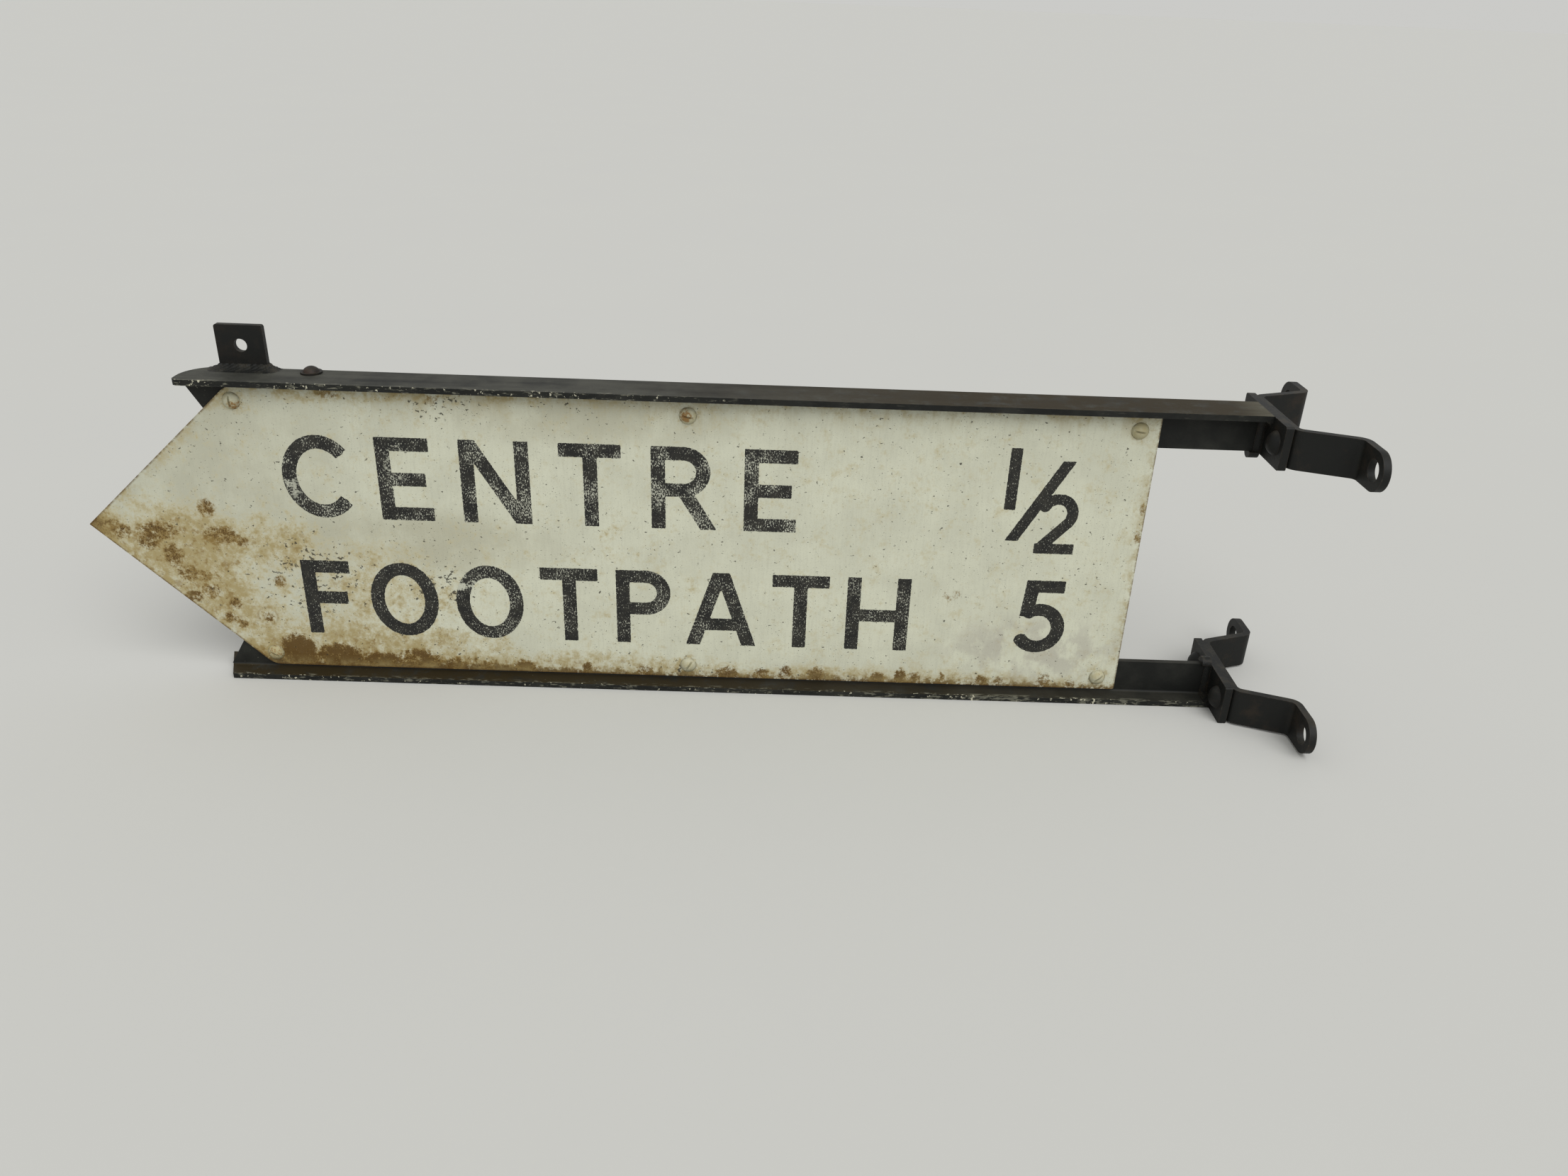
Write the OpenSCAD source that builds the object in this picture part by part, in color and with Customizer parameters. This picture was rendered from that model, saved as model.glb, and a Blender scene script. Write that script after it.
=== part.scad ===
// Direction arm of a finger-post road sign, pointing left, with two half clamps for a round post.
// X runs along the arm towards the post, Y away from the reader, Z up.
// X = 0 is the middle of the length, Y = 0 the middle of the rail stems, Z = 0 the underside of the lower rail.

/* [Sign plate] */
// Length of the plate from its point to its square end
plate_length = 880; // [700:1:1100]
// Length of the pointed part, from the point to the shoulders
point_length = 134; // [90:1:180]
// Height of the point above the middle of the plate
point_rise = 3; // [-6:0.5:6]
// Radius of the very point
point_r = 0.4; // [0.2:0.1:2]
// Thickness of the plate
plate_t = 3.2; // [2:0.1:5]
// Corner radius at the two shoulders
shoulder_r = 16; // [4:1:24]
// Corner radius at the square end
end_corner_r = 2; // [0.5:0.5:6]
// Gap between the plate's long edges and the rails' root radii
plate_gap = 1.2; // [0.4:0.1:3]

/* [Rails] */
// Height of the whole arm over both rails, without the stay tab
arm_height = 270; // [220:1:340]
// Width of the rail's flat table
rail_w = 38; // [30:1:50]
// Depth of the tee section, from the table's face to the stem's edge
rail_depth = 35; // [28:1:45]
// Thickness of the table and the stem
rail_t = 4.8; // [3:0.1:7]
// Root radius between the table and the stem
root_r = 2; // [1:0.5:3]
// Length that the rails run past the plate's square end
rail_overrun = 83; // [50:1:140]
// Distance from the upper rail's left end to the plate's shoulders
top_rail_start = 36; // [14:1:49]
// Distance from the lower rail's left end to the plate's shoulders
bottom_rail_start = 47; // [24:1:54]
// Run of the slanting cut at the left end of each stem
stem_cut = 18; // [8:1:26]
// Radius of the upper table's rounded rear corner
bow_r = 27; // [14:1:30]
// Radius of the upper table's front corner
nose_r = 5; // [1:0.5:8]
// Set-back of the lower table's front corner behind its rear corner
end_skew = 15; // [6:1:20]

/* [Stay tab] */
// Width of the upright tab that takes the stay
tab_w = 38; // [30:1:50]
// Height of the tab above the upper rail
tab_h = 36; // [30:1:50]
// Thickness of the tab
tab_t = 5; // [3:0.1:7]
// Distance from the plate's shoulders to the middle of the tab
tab_x = 9; // [4:1:31]
// Diameter of the stay hole
tab_hole_d = 10.5; // [8:0.5:14]
// Height of the stay hole above the upper rail
tab_hole_h = 19.5; // [16:0.5:22]
// Corner radius of the tab
tab_r = 2; // [0.5:0.5:5]

/* [End plates] */
// Width of the plate at the right end of each rail
end_w = 90; // [84:1:110]
// Height of the end plate
end_h = 36; // [34:1:44]
// Thickness of the end plate
end_t = 6.4; // [4:0.1:9]
// Corner radius of the end plate
end_r = 2; // [0.5:0.5:5]

/* [Post straps] */
// Height of the flat bar that the straps are bent from
strap_h = 31.8; // [26:0.1:34]
// Thickness of the bar
strap_t = 6; // [4:0.1:8]
// Width across the strap's back, over its corners
strap_back_w = 90; // [80:1:104]
// Reach from the back's rear face to the ears' front face
strap_reach = 52.6; // [44:0.1:70]
// Angle by which each arm opens outwards
splay = 20; // [8:1:28]
// Inside radius of the bends
bend_r = 5; // [3:0.5:8]
// Distance between the two ear holes of one strap
ear_spacing = 171; // [166:1:190]
// Diameter of the ear holes
ear_hole_d = 17.5; // [12:0.5:20]

/* [Strap rivets] */
// Diameter of the rivet shanks
rivet_d = 12.7; // [9:0.1:13.4]
// Diameter of the round rivet heads
rivet_head_d = 20; // [17:0.5:22]
// Height of the round rivet heads
rivet_head_h = 7; // [4:0.5:9]
// Distance between the two rivets of one clamp
rivet_spacing = 60; // [56:1:60]
// Width of the flush closing head
rivet_flush_d = 14.5; // [13.8:0.1:14.8]
// Depth of the flush closing head
rivet_flush_h = 2; // [1:0.1:3]

/* [Plate screws] */
// Diameter of the screws that hold the plate
screw_d = 8; // [5:0.1:9]
// Diameter of the round screw heads
screw_head_d = 14.5; // [12:0.5:17]
// Height of the round screw heads
screw_head_h = 4.6; // [3:0.1:6]
// Width of the screw slot
slot_w = 1.6; // [1:0.1:2.2]
// Depth of the screw slot
slot_depth = 2; // [1:0.1:2.6]
// Distance of the screw rows from the outside of the rails
screw_edge = 20; // [18:0.5:22]
// Distance from the plate's shoulders to the first screw
first_screw = 3; // [0:1:16]
// Distance from the last screw to the plate's square end
last_screw = 16.5; // [12:0.5:30]
// Number of screws in each row
screw_count = 3; // [2:1:5]
// Width of the square nuts across their flats
nut_w = 12.8; // [11:0.1:14]
// Thickness of the square nuts
nut_t = 5.5; // [4:0.1:7]
// Length of thread that stands out behind a nut
thread_out = 3; // [1:0.5:5]

/* [Table bolt] */
// Distance from the plate's shoulders to the bolt through the upper table
bolt_x = 64; // [51:1:126]
// Diameter of the bolt
bolt_d = 6.4; // [5:0.1:7]
// Diameter of its round head
bolt_head_d = 13.5; // [11:0.5:15]
// Height of its round head
bolt_head_h = 4.2; // [3:0.1:5]
// Diameter of the washer under the head
washer_d = 17; // [15:0.5:17]
// Thickness of the washer
washer_t = 1.6; // [1:0.1:2]
// Width of the bolt's square nut across its flats
bolt_nut_w = 11; // [9:0.1:11.5]
// Thickness of the bolt's square nut
bolt_nut_t = 5; // [4:0.1:6]

/* [Welds] */
// Leg length of the weld beads
weld_leg = 5; // [3:0.5:6]
// Radius of the lump of weld at each stem's edge
lump_r = 6; // [4:0.5:7]
// Length of the lump along the rail
lump_len = 8; // [5:0.5:12]

/* [Fits] */
// Clearance all round a screw or bolt in its hole
hole_gap = 0.4; // [0.2:0.1:0.8]
// Clearance all round a rivet or thread in its hole
close_gap = 0.15; // [0.1:0.05:0.3]

/* [Hidden] */
$fn = 64;
over = 1;
weld_edge = 0.6;
arc_step = 7.5;
black = "#262524";
white = "#d9d8cf";

rail_end = plate_length + rail_overrun;
arm_length = rail_end + end_t + strap_reach;
tip_x = -arm_length / 2;
shoulder_x = tip_x + point_length;
rail_end_x = tip_x + rail_end;
strap_x = rail_end_x + end_t;
ear_face_x = strap_x + strap_reach;

stem_front = -rail_t / 2;
stem_rear = rail_t / 2;
plate_front = stem_front - plate_t;
plate_bottom = rail_t + root_r + plate_gap;
plate_top = arm_height - plate_bottom;
point_z = arm_height / 2 + point_rise;

end_z = end_h / 2;
strap_half = strap_back_w / 2 - strap_t / 2 * tan((90 - splay) / 2);
arm_step = strap_reach - strap_t;
ear_line = strap_half + arm_step * tan(splay);
ear_end = ear_spacing / 2 + strap_h / 2;

screw_first_x = shoulder_x + first_screw;
screw_last_x = tip_x + plate_length - last_screw;
screw_step = (screw_last_x - screw_first_x) / (screw_count - 1);
screw_xs = [for (i = [0 : screw_count - 1]) screw_first_x + i * screw_step];
screw_zs = [screw_edge, arm_height - screw_edge];
nut_rear = stem_rear + nut_t;

tab_mid_x = shoulder_x + tab_x;
tab_rear = rail_w / 2;
tab_front = tab_rear - tab_t;
bolt_mid_x = shoulder_x + bolt_x;
bolt_y = stem_rear + root_r + bolt_nut_w / 2 + close_gap;

// A point at a given angle and distance from a centre
function polar(c, r, a) = [c[0] + r * cos(a), c[1] + r * sin(a)];
// Direction of the line from a to b, in degrees
function heading(a, b) = atan2(b[1] - a[1], b[0] - a[0]);

// Mirrors what is modelled on the lower rail onto the upper rail
module upper() {
    translate([0, 0, arm_height]) mirror([0, 0, 1]) children();
}

// Corner of a line that runs d to the left of a path that turns at p from heading a to heading b
function mitre(p, a, b, d) = polar(p, d / cos((b - a) / 2), (a + b) / 2 + 90);

// A polygon whose corners are rounded by arcs, one radius for each corner, and sharp where it is 0
module rounded_outline(points, radii) {
    n = len(points);
    arcs = [for (i = [0 : n - 1])
        let (p = points[i], a = points[(i + n - 1) % n], b = points[(i + 1) % n], r = radii[i],
            turn = heading(p, b) - heading(a, p), bend = turn - 360 * round(turn / 360),
            side = bend < 0 ? -1 : 1, back = r * tan(abs(bend) / 2),
            start = polar(p, back, heading(p, a)), c = polar(start, r, heading(a, p) + 90 * side),
            steps = r > 0 ? ceil(abs(bend) / arc_step) : 0)
        for (k = [0 : steps]) polar(c, r, heading(a, p) - 90 * side + bend * k / max(1, steps))];
    polygon(arcs);
}

// A round head: the cap of a sphere that is d wide and h high, on z = 0
module round_head(d, h) {
    r = (d * d / 4 + h * h) / (2 * h);
    intersection() {
        translate([0, 0, h - r]) sphere(r);
        cylinder(d = d + over, h = h + over);
    }
}

// Profile of a weld bead that fills a right-angled corner at the origin
module bead_profile(leg) {
    difference() {
        square(leg);
        translate([leg + weld_edge, leg + weld_edge]) circle(leg);
    }
}

// Section of a rail in the Y-Z plane, with the table down
module tee_section() {
    translate([-rail_w / 2, 0]) square([rail_w, rail_t]);
    translate([-rail_t / 2, 0]) square([rail_t, rail_depth]);
    for (side = [-1, 1]) scale([side, 1]) translate([rail_t / 2, rail_t]) difference() {
        square(root_r);
        translate([root_r, root_r]) circle(root_r);
    }
}

// A length of tee section from x = from to the rails' right end
module tee_bar(from) {
    translate([from, 0, 0]) rotate([90, 0, 90])
        linear_extrude(rail_end_x - from) tee_section();
}

// Cuts the left end of a stem on a slant that starts at x = from, on the table
module stem_end_cut(from) {
    run = stem_cut / (rail_depth - rail_t);
    low = rail_t;
    high = rail_depth + over;
    translate([0, rail_w / 2, 0]) rotate([90, 0, 0]) linear_extrude(rail_w)
        polygon([[from - rail_w, low], [from, low], [from + run * (high - low), high], [from - rail_w, high]]);
}

// The holes for the plate screws through something that stands upright
module screw_holes(z, d) {
    for (x = screw_xs) translate([x, rail_w, z]) rotate([90, 0, 0]) cylinder(d = d, h = 2 * rail_w);
}

module sign_plate() {
    square_x = tip_x + plate_length;
    outline = [[tip_x, point_z], [shoulder_x, plate_bottom], [square_x, plate_bottom],
        [square_x, plate_top], [shoulder_x, plate_top]];
    radii = [point_r, shoulder_r, end_corner_r, end_corner_r, shoulder_r];
    color(white) difference() {
        translate([0, stem_front, 0]) rotate([90, 0, 0]) linear_extrude(plate_t)
            rounded_outline(outline, radii);
        for (z = screw_zs) screw_holes(z, screw_d + 2 * hole_gap);
    }
}

module top_rail() {
    start = shoulder_x - top_rail_start;
    color(black) difference() {
        upper() difference() {
            tee_bar(start);
            stem_end_cut(start);
            top_table_corners(start);
            screw_holes(screw_edge, screw_d + 2 * hole_gap);
        }
        translate([bolt_mid_x, bolt_y, arm_height - 2 * rail_t])
            cylinder(d = bolt_d + 2 * hole_gap, h = 3 * rail_t);
    }
}

// What is cut off the upper table's left end: a wide arc at the rear, a small one in front
module top_table_corners(start) {
    rear_y = rail_w / 2 - bow_r;
    front_y = nose_r - rail_w / 2;
    translate([0, 0, -over]) linear_extrude(rail_t + 2 * over) {
        difference() {
            translate([start - over, rear_y]) square([bow_r + over, bow_r + over]);
            translate([start + bow_r, rear_y]) circle(bow_r);
        }
        difference() {
            translate([start - over, -rail_w / 2 - over]) square([nose_r + over, nose_r + over]);
            translate([start + nose_r, front_y]) circle(nose_r);
        }
    }
}

module bottom_rail() {
    start = shoulder_x - bottom_rail_start;
    middle = start + end_skew / 2;
    color(black) difference() {
        tee_bar(start);
        stem_end_cut(middle);
        translate([0, 0, -over]) linear_extrude(rail_t + 2 * over)
            polygon([[start - over, rail_w / 2 + over], [start, rail_w / 2 + over],
                [start + end_skew, -rail_w / 2], [start + end_skew, -rail_w / 2 - over],
                [start - over, -rail_w / 2 - over]]);
        screw_holes(screw_edge, screw_d + 2 * hole_gap);
    }
}

module stay_tab() {
    outline = [[-tab_w / 2, 0], [tab_w / 2, 0], [tab_w / 2, tab_h], [-tab_w / 2, tab_h]];
    color(black) translate([tab_mid_x, tab_rear, arm_height]) rotate([90, 0, 0]) difference() {
        linear_extrude(tab_t) rounded_outline(outline, [0, 0, tab_r, tab_r]);
        translate([0, tab_hole_h, -over]) cylinder(d = tab_hole_d, h = tab_t + 2 * over);
    }
}

module stay_tab_weld() {
    color(black) translate([tab_mid_x + tab_w / 2, tab_front, arm_height]) rotate([0, -90, 0])
        linear_extrude(tab_w) scale([1, -1]) bead_profile(weld_leg);
}

// End plate of the lower rail, with its two rivet holes
module end_plate() {
    outline = [[-end_w / 2, 0], [end_w / 2, 0], [end_w / 2, end_h], [-end_w / 2, end_h]];
    difference() {
        translate([rail_end_x, 0, 0]) rotate([90, 0, 90])
            linear_extrude(end_t) rounded_outline(outline, [end_r, end_r, end_r, end_r]);
        for (side = [-1, 1]) translate([rail_end_x - over, side * rivet_spacing / 2, end_z])
            rotate([0, 90, 0]) cylinder(d = rivet_d + 2 * close_gap, h = end_t + 2 * over);
    }
}

module top_end_plate() {
    color(black) upper() end_plate();
}

module bottom_end_plate() {
    color(black) end_plate();
}

// Plan of the whole strap: ear, splayed arm, back, splayed arm and ear, with rounded bends
module strap_plan() {
    back_x = strap_x + strap_t / 2;
    ear_x = ear_face_x - strap_t / 2;
    half = strap_t / 2;
    path = [[ear_x, -ear_end - over], [ear_x, -ear_line], [back_x, -strap_half],
        [back_x, strap_half], [ear_x, ear_line], [ear_x, ear_end + over]];
    headings = [90, 90, 180 - splay, 90, splay, 90, 90];
    outer = bend_r + strap_t;
    near_side = [for (i = [0 : 5]) mitre(path[i], headings[i], headings[i + 1], -half)];
    far_side = [for (i = [5 : -1 : 0]) mitre(path[i], headings[i], headings[i + 1], half)];
    rounded_outline(concat(near_side, far_side),
        [0, outer, bend_r, bend_r, outer, 0, 0, bend_r, outer, outer, bend_r, 0]);
}

// Front view of a strap's bar, straightened at the ears, with round ends
module strap_outline() {
    for (side = [-1, 1]) translate([side * ear_spacing / 2, 0]) circle(d = strap_h);
    square([ear_spacing, strap_h], center = true);
}

// Strap of the lower clamp: the bent plan and the round-ended outline meet in one bar
module post_strap() {
    low = end_z - strap_h / 2;
    difference() {
        intersection() {
            translate([0, 0, low - over]) linear_extrude(strap_h + 2 * over) strap_plan();
            translate([rail_end_x, 0, end_z]) rotate([90, 0, 90])
                linear_extrude(arm_length) strap_outline();
        }
        for (side = [-1, 1]) {
            translate([strap_x + 2 * strap_t, side * ear_spacing / 2, end_z]) rotate([0, 90, 0])
                cylinder(d = ear_hole_d, h = strap_reach);
            translate([strap_x - over, side * rivet_spacing / 2, end_z]) rotate([0, 90, 0])
                cylinder(d = rivet_d + 2 * close_gap, h = strap_t + 2 * over);
            translate([strap_x + strap_t - rivet_flush_h - close_gap, side * rivet_spacing / 2, end_z])
                rotate([0, 90, 0]) cylinder(d1 = rivet_d + 2 * close_gap,
                    d2 = rivet_flush_d + 2 * close_gap, h = rivet_flush_h + close_gap);
        }
    }
}

module top_post_strap() {
    color(black) upper() post_strap();
}

module bottom_post_strap() {
    color(black) post_strap();
}

// One rivet along X: round head against the end plate, flush head in the strap
module strap_rivet() {
    grip = end_t + strap_t;
    rotate([0, 90, 0]) {
        mirror([0, 0, 1]) round_head(rivet_head_d, rivet_head_h);
        cylinder(d = rivet_d, h = grip);
        translate([0, 0, grip - rivet_flush_h]) cylinder(d1 = rivet_d, d2 = rivet_flush_d, h = rivet_flush_h);
    }
}

module strap_rivets() {
    color(black) for (z = [end_z, arm_height - end_z], side = [-1, 1])
        translate([rail_end_x, side * rivet_spacing / 2, z]) strap_rivet();
}

// Beads on one side of the lower rail's end: under the table's half and up the stem
module end_beads() {
    table_run = rail_w / 2 - stem_rear;
    stem_run = rail_depth - rail_t;
    translate([rail_end_x, stem_rear, rail_t]) {
        difference() {
            union() {
                rotate([0, 0, 90]) rotate([90, 0, 90]) linear_extrude(table_run) bead_profile(weld_leg);
                rotate([0, 0, 90]) linear_extrude(stem_run) bead_profile(weld_leg);
            }
            rotate([0, -90, 0]) translate([0, 0, -over]) linear_extrude(weld_leg + 2 * over)
                difference() {
                    square(root_r);
                    translate([root_r, root_r]) circle(root_r);
                }
        }
    }
}

// Lump of weld where the lower stem's edge meets the end plate
module end_lump() {
    translate([rail_end_x - lump_len, 0, rail_depth]) intersection() {
        rotate([0, 90, 0]) cylinder(r = lump_r, h = lump_len);
        translate([0, -lump_r, 0]) cube([lump_len, 2 * lump_r, lump_r]);
    }
}

module rail_end_welds() {
    color(black) {
        end_beads();
        mirror([0, 1, 0]) end_beads();
        upper() end_beads();
        upper() mirror([0, 1, 0]) end_beads();
        upper() end_lump();
        end_lump();
    }
}

// One plate screw along Y, with its head on the plate and its slot upright
module plate_screw() {
    shank = plate_t + rail_t + nut_t + thread_out;
    translate([0, plate_front, 0]) {
        rotate([90, 0, 0]) difference() {
            round_head(screw_head_d, screw_head_h);
            translate([-slot_w / 2, -screw_head_d, screw_head_h - slot_depth])
                cube([slot_w, 2 * screw_head_d, screw_head_h]);
        }
        rotate([-90, 0, 0]) cylinder(d = screw_d, h = shank);
    }
}

module plate_screws() {
    color(white) for (x = screw_xs, z = screw_zs) translate([x, 0, z]) plate_screw();
}

// A square nut with its bore along Z, standing on z = 0
module square_nut(width, thickness, bore) {
    difference() {
        translate([-width / 2, -width / 2, 0]) cube([width, width, thickness]);
        translate([0, 0, -over]) cylinder(d = bore, h = thickness + 2 * over);
    }
}

module plate_nuts() {
    color(black) for (x = screw_xs, z = screw_zs) translate([x, nut_rear, z]) rotate([90, 0, 0])
        square_nut(nut_w, nut_t, screw_d + 2 * close_gap);
}

module table_bolt() {
    shank = washer_t + rail_t + bolt_nut_t + thread_out;
    color(black) translate([bolt_mid_x, bolt_y, arm_height + washer_t]) {
        round_head(bolt_head_d, bolt_head_h);
        mirror([0, 0, 1]) cylinder(d = bolt_d, h = shank);
    }
}

module table_bolt_washer() {
    color(black) translate([bolt_mid_x, bolt_y, arm_height]) difference() {
        cylinder(d = washer_d, h = washer_t);
        translate([0, 0, -over]) cylinder(d = bolt_d + 2 * close_gap, h = washer_t + 2 * over);
    }
}

module table_bolt_nut() {
    color(black) translate([bolt_mid_x, bolt_y, arm_height - rail_t - bolt_nut_t])
        square_nut(bolt_nut_w, bolt_nut_t, bolt_d + 2 * close_gap);
}

sign_plate();
top_rail();
bottom_rail();
stay_tab();
stay_tab_weld();
top_end_plate();
bottom_end_plate();
top_post_strap();
bottom_post_strap();
strap_rivets();
rail_end_welds();
plate_screws();
plate_nuts();
table_bolt();
table_bolt_washer();
table_bolt_nut();
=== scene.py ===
"""Looks of a finger post road sign arm: worn white plate, black tee rails and browned post clamps.

Everything is in metres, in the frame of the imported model: X along the arm towards the post,
Y away from the reader and Z up, with Z = 0 on the underside of the lower rail.
"""
import logging
import math
from collections.abc import Callable
from dataclasses import dataclass, field
from enum import Enum

import bmesh
import bpy
import numpy as np
from mathutils import Matrix, Vector


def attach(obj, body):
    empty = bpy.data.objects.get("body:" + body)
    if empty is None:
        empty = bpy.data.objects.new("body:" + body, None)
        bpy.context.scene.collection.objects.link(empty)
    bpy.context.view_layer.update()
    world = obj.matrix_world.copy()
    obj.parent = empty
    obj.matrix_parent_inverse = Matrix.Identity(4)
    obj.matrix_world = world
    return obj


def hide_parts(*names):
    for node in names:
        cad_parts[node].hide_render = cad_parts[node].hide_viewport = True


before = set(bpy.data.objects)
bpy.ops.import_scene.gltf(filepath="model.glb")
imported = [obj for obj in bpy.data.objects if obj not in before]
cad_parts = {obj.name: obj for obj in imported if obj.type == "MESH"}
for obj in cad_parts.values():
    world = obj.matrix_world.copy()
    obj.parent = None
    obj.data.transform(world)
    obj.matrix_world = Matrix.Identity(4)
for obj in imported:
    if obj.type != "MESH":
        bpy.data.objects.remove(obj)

LOG = logging.getLogger("sign_arm")
Colour = tuple[float, float, float]
Point = tuple[float, float]
Triple = tuple[float, float, float]

# Y of the plate's front face, X of the first and last screw of a row, and Z of the two rows
PLATE_FACE = -0.0056
SCREW_COLUMNS: Point = (-0.374, 0.3525)
SCREW_ROWS: Point = (0.020, 0.250)

# Number of points on each arc of a letter
ARC_POINTS = 28


def srgb(red: int, green: int, blue: int) -> Colour:
    """Linear colour of a display colour whose channels run from 0 to 255."""
    levels = (channel / 255 for channel in (red, green, blue))
    return tuple(v / 12.92 if v <= 0.04045 else ((v + 0.055) / 1.055) ** 2.4 for v in levels)


class Value:
    """A number on a node's socket, which Python's operators combine through Math nodes."""

    def __init__(self, nodes: "Nodes", socket: bpy.types.NodeSocket) -> None:
        """Wraps one output socket of a node tree."""
        self.nodes = nodes
        self.socket = socket

    def math(self, operation: str, *others: "Value | float") -> "Value":
        """Adds one Math node.

        Args:
            operation: the Math node's operation.
            others: the second and third numbers, if the operation takes them.

        Returns:
            The node's result.
        """
        inputs = dict(enumerate((self, *others)))
        return self.nodes.value("ShaderNodeMath", {"operation": operation}, inputs)

    def __add__(self, other: "Value | float") -> "Value":
        """Sum of the two."""
        return self.math("ADD", other)

    def __radd__(self, other: float) -> "Value":
        """Sum with a plain number on the left."""
        return self.math("ADD", other)

    def __sub__(self, other: "Value | float") -> "Value":
        """Difference of the two."""
        return self.math("SUBTRACT", other)

    def __rsub__(self, other: float) -> "Value":
        """A plain number less this value."""
        return (self * -1.0) + other

    def __mul__(self, other: "Value | float") -> "Value":
        """Product of the two."""
        return self.math("MULTIPLY", other)

    def __rmul__(self, other: float) -> "Value":
        """Product with a plain number on the left."""
        return self.math("MULTIPLY", other)

    def __truediv__(self, other: "Value | float") -> "Value":
        """This value divided by the other."""
        return self.math("DIVIDE", other)

    def __rtruediv__(self, other: float) -> "Value":
        """A plain number divided by this value."""
        return self.math("POWER", -1.0) * other

    def __abs__(self) -> "Value":
        """Size of this value without its sign."""
        return self.math("ABSOLUTE")

    def root(self) -> "Value":
        """Square root."""
        return self.math("SQRT")

    def highest(self, other: "Value | float") -> "Value":
        """The larger of the two."""
        return self.math("MAXIMUM", other)

    def lowest(self, other: "Value | float") -> "Value":
        """The smaller of the two."""
        return self.math("MINIMUM", other)

    def rise(self, low: float, high: float) -> "Value":
        """Smooth step from 0 to 1, or from 1 down to 0 if low is the larger of the two.

        Args:
            low: where the result is still 0.
            high: where it has become 1.

        Returns:
            The step, which stays at its end values outside the two.
        """
        settings = {"interpolation_type": "SMOOTHSTEP", "clamp": True}
        start, end, first, last = (low, high, 0.0, 1.0) if low < high else (high, low, 1.0, 0.0)
        inputs = {0: self, 1: start, 2: end, 3: first, 4: last}
        return self.nodes.value("ShaderNodeMapRange", settings, inputs)


class Nodes:
    """A node tree that starts empty, and the one method that adds nodes to it."""

    def __init__(self, tree: bpy.types.NodeTree) -> None:
        """Takes a tree and clears it."""
        self.tree = tree
        tree.nodes.clear()

    def feed(self, socket: bpy.types.NodeSocket,
             given: "Value | bpy.types.NodeSocket | float | Colour") -> None:
        """Gives an input socket what it reads.

        Args:
            socket: the input.
            given: a value or an output socket, which is linked, or a constant, which is set.
        """
        source = given.socket if isinstance(given, Value) else given
        if isinstance(source, bpy.types.NodeSocket):
            self.tree.links.new(source, socket)
        elif isinstance(source, tuple) and socket.type == "RGBA":
            socket.default_value = (*source, 1.0)
        else:
            socket.default_value = source

    def node(self, kind: str, settings: dict[str, object],
             inputs: dict[int | str, object]) -> bpy.types.Node:
        """Adds any node.

        Args:
            kind: the node's type.
            settings: its properties, which are set first.
            inputs: what each socket reads, by the socket's name or number.

        Returns:
            The new node.
        """
        made = self.tree.nodes.new(kind)
        for name, setting in settings.items():
            setattr(made, name, setting)
        for key, given in inputs.items():
            self.feed(made.inputs[key], given)
        return made

    def value(self, kind: str, settings: dict[str, object], inputs: dict[int | str, object],
              output: int | str = 0) -> Value:
        """Adds a node and wraps one of its outputs."""
        return Value(self, self.node(kind, settings, inputs).outputs[output])

    def mix(self, factor: "Value | bpy.types.NodeSocket", first: "bpy.types.NodeSocket | Colour",
            second: "bpy.types.NodeSocket | Colour") -> bpy.types.NodeSocket:
        """Colour that goes from the first to the second as the factor goes from 0 to 1."""
        settings = {"data_type": "RGBA", "clamp_factor": True}
        return self.node("ShaderNodeMix", settings, {0: factor, 6: first, 7: second}).outputs[2]


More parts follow.
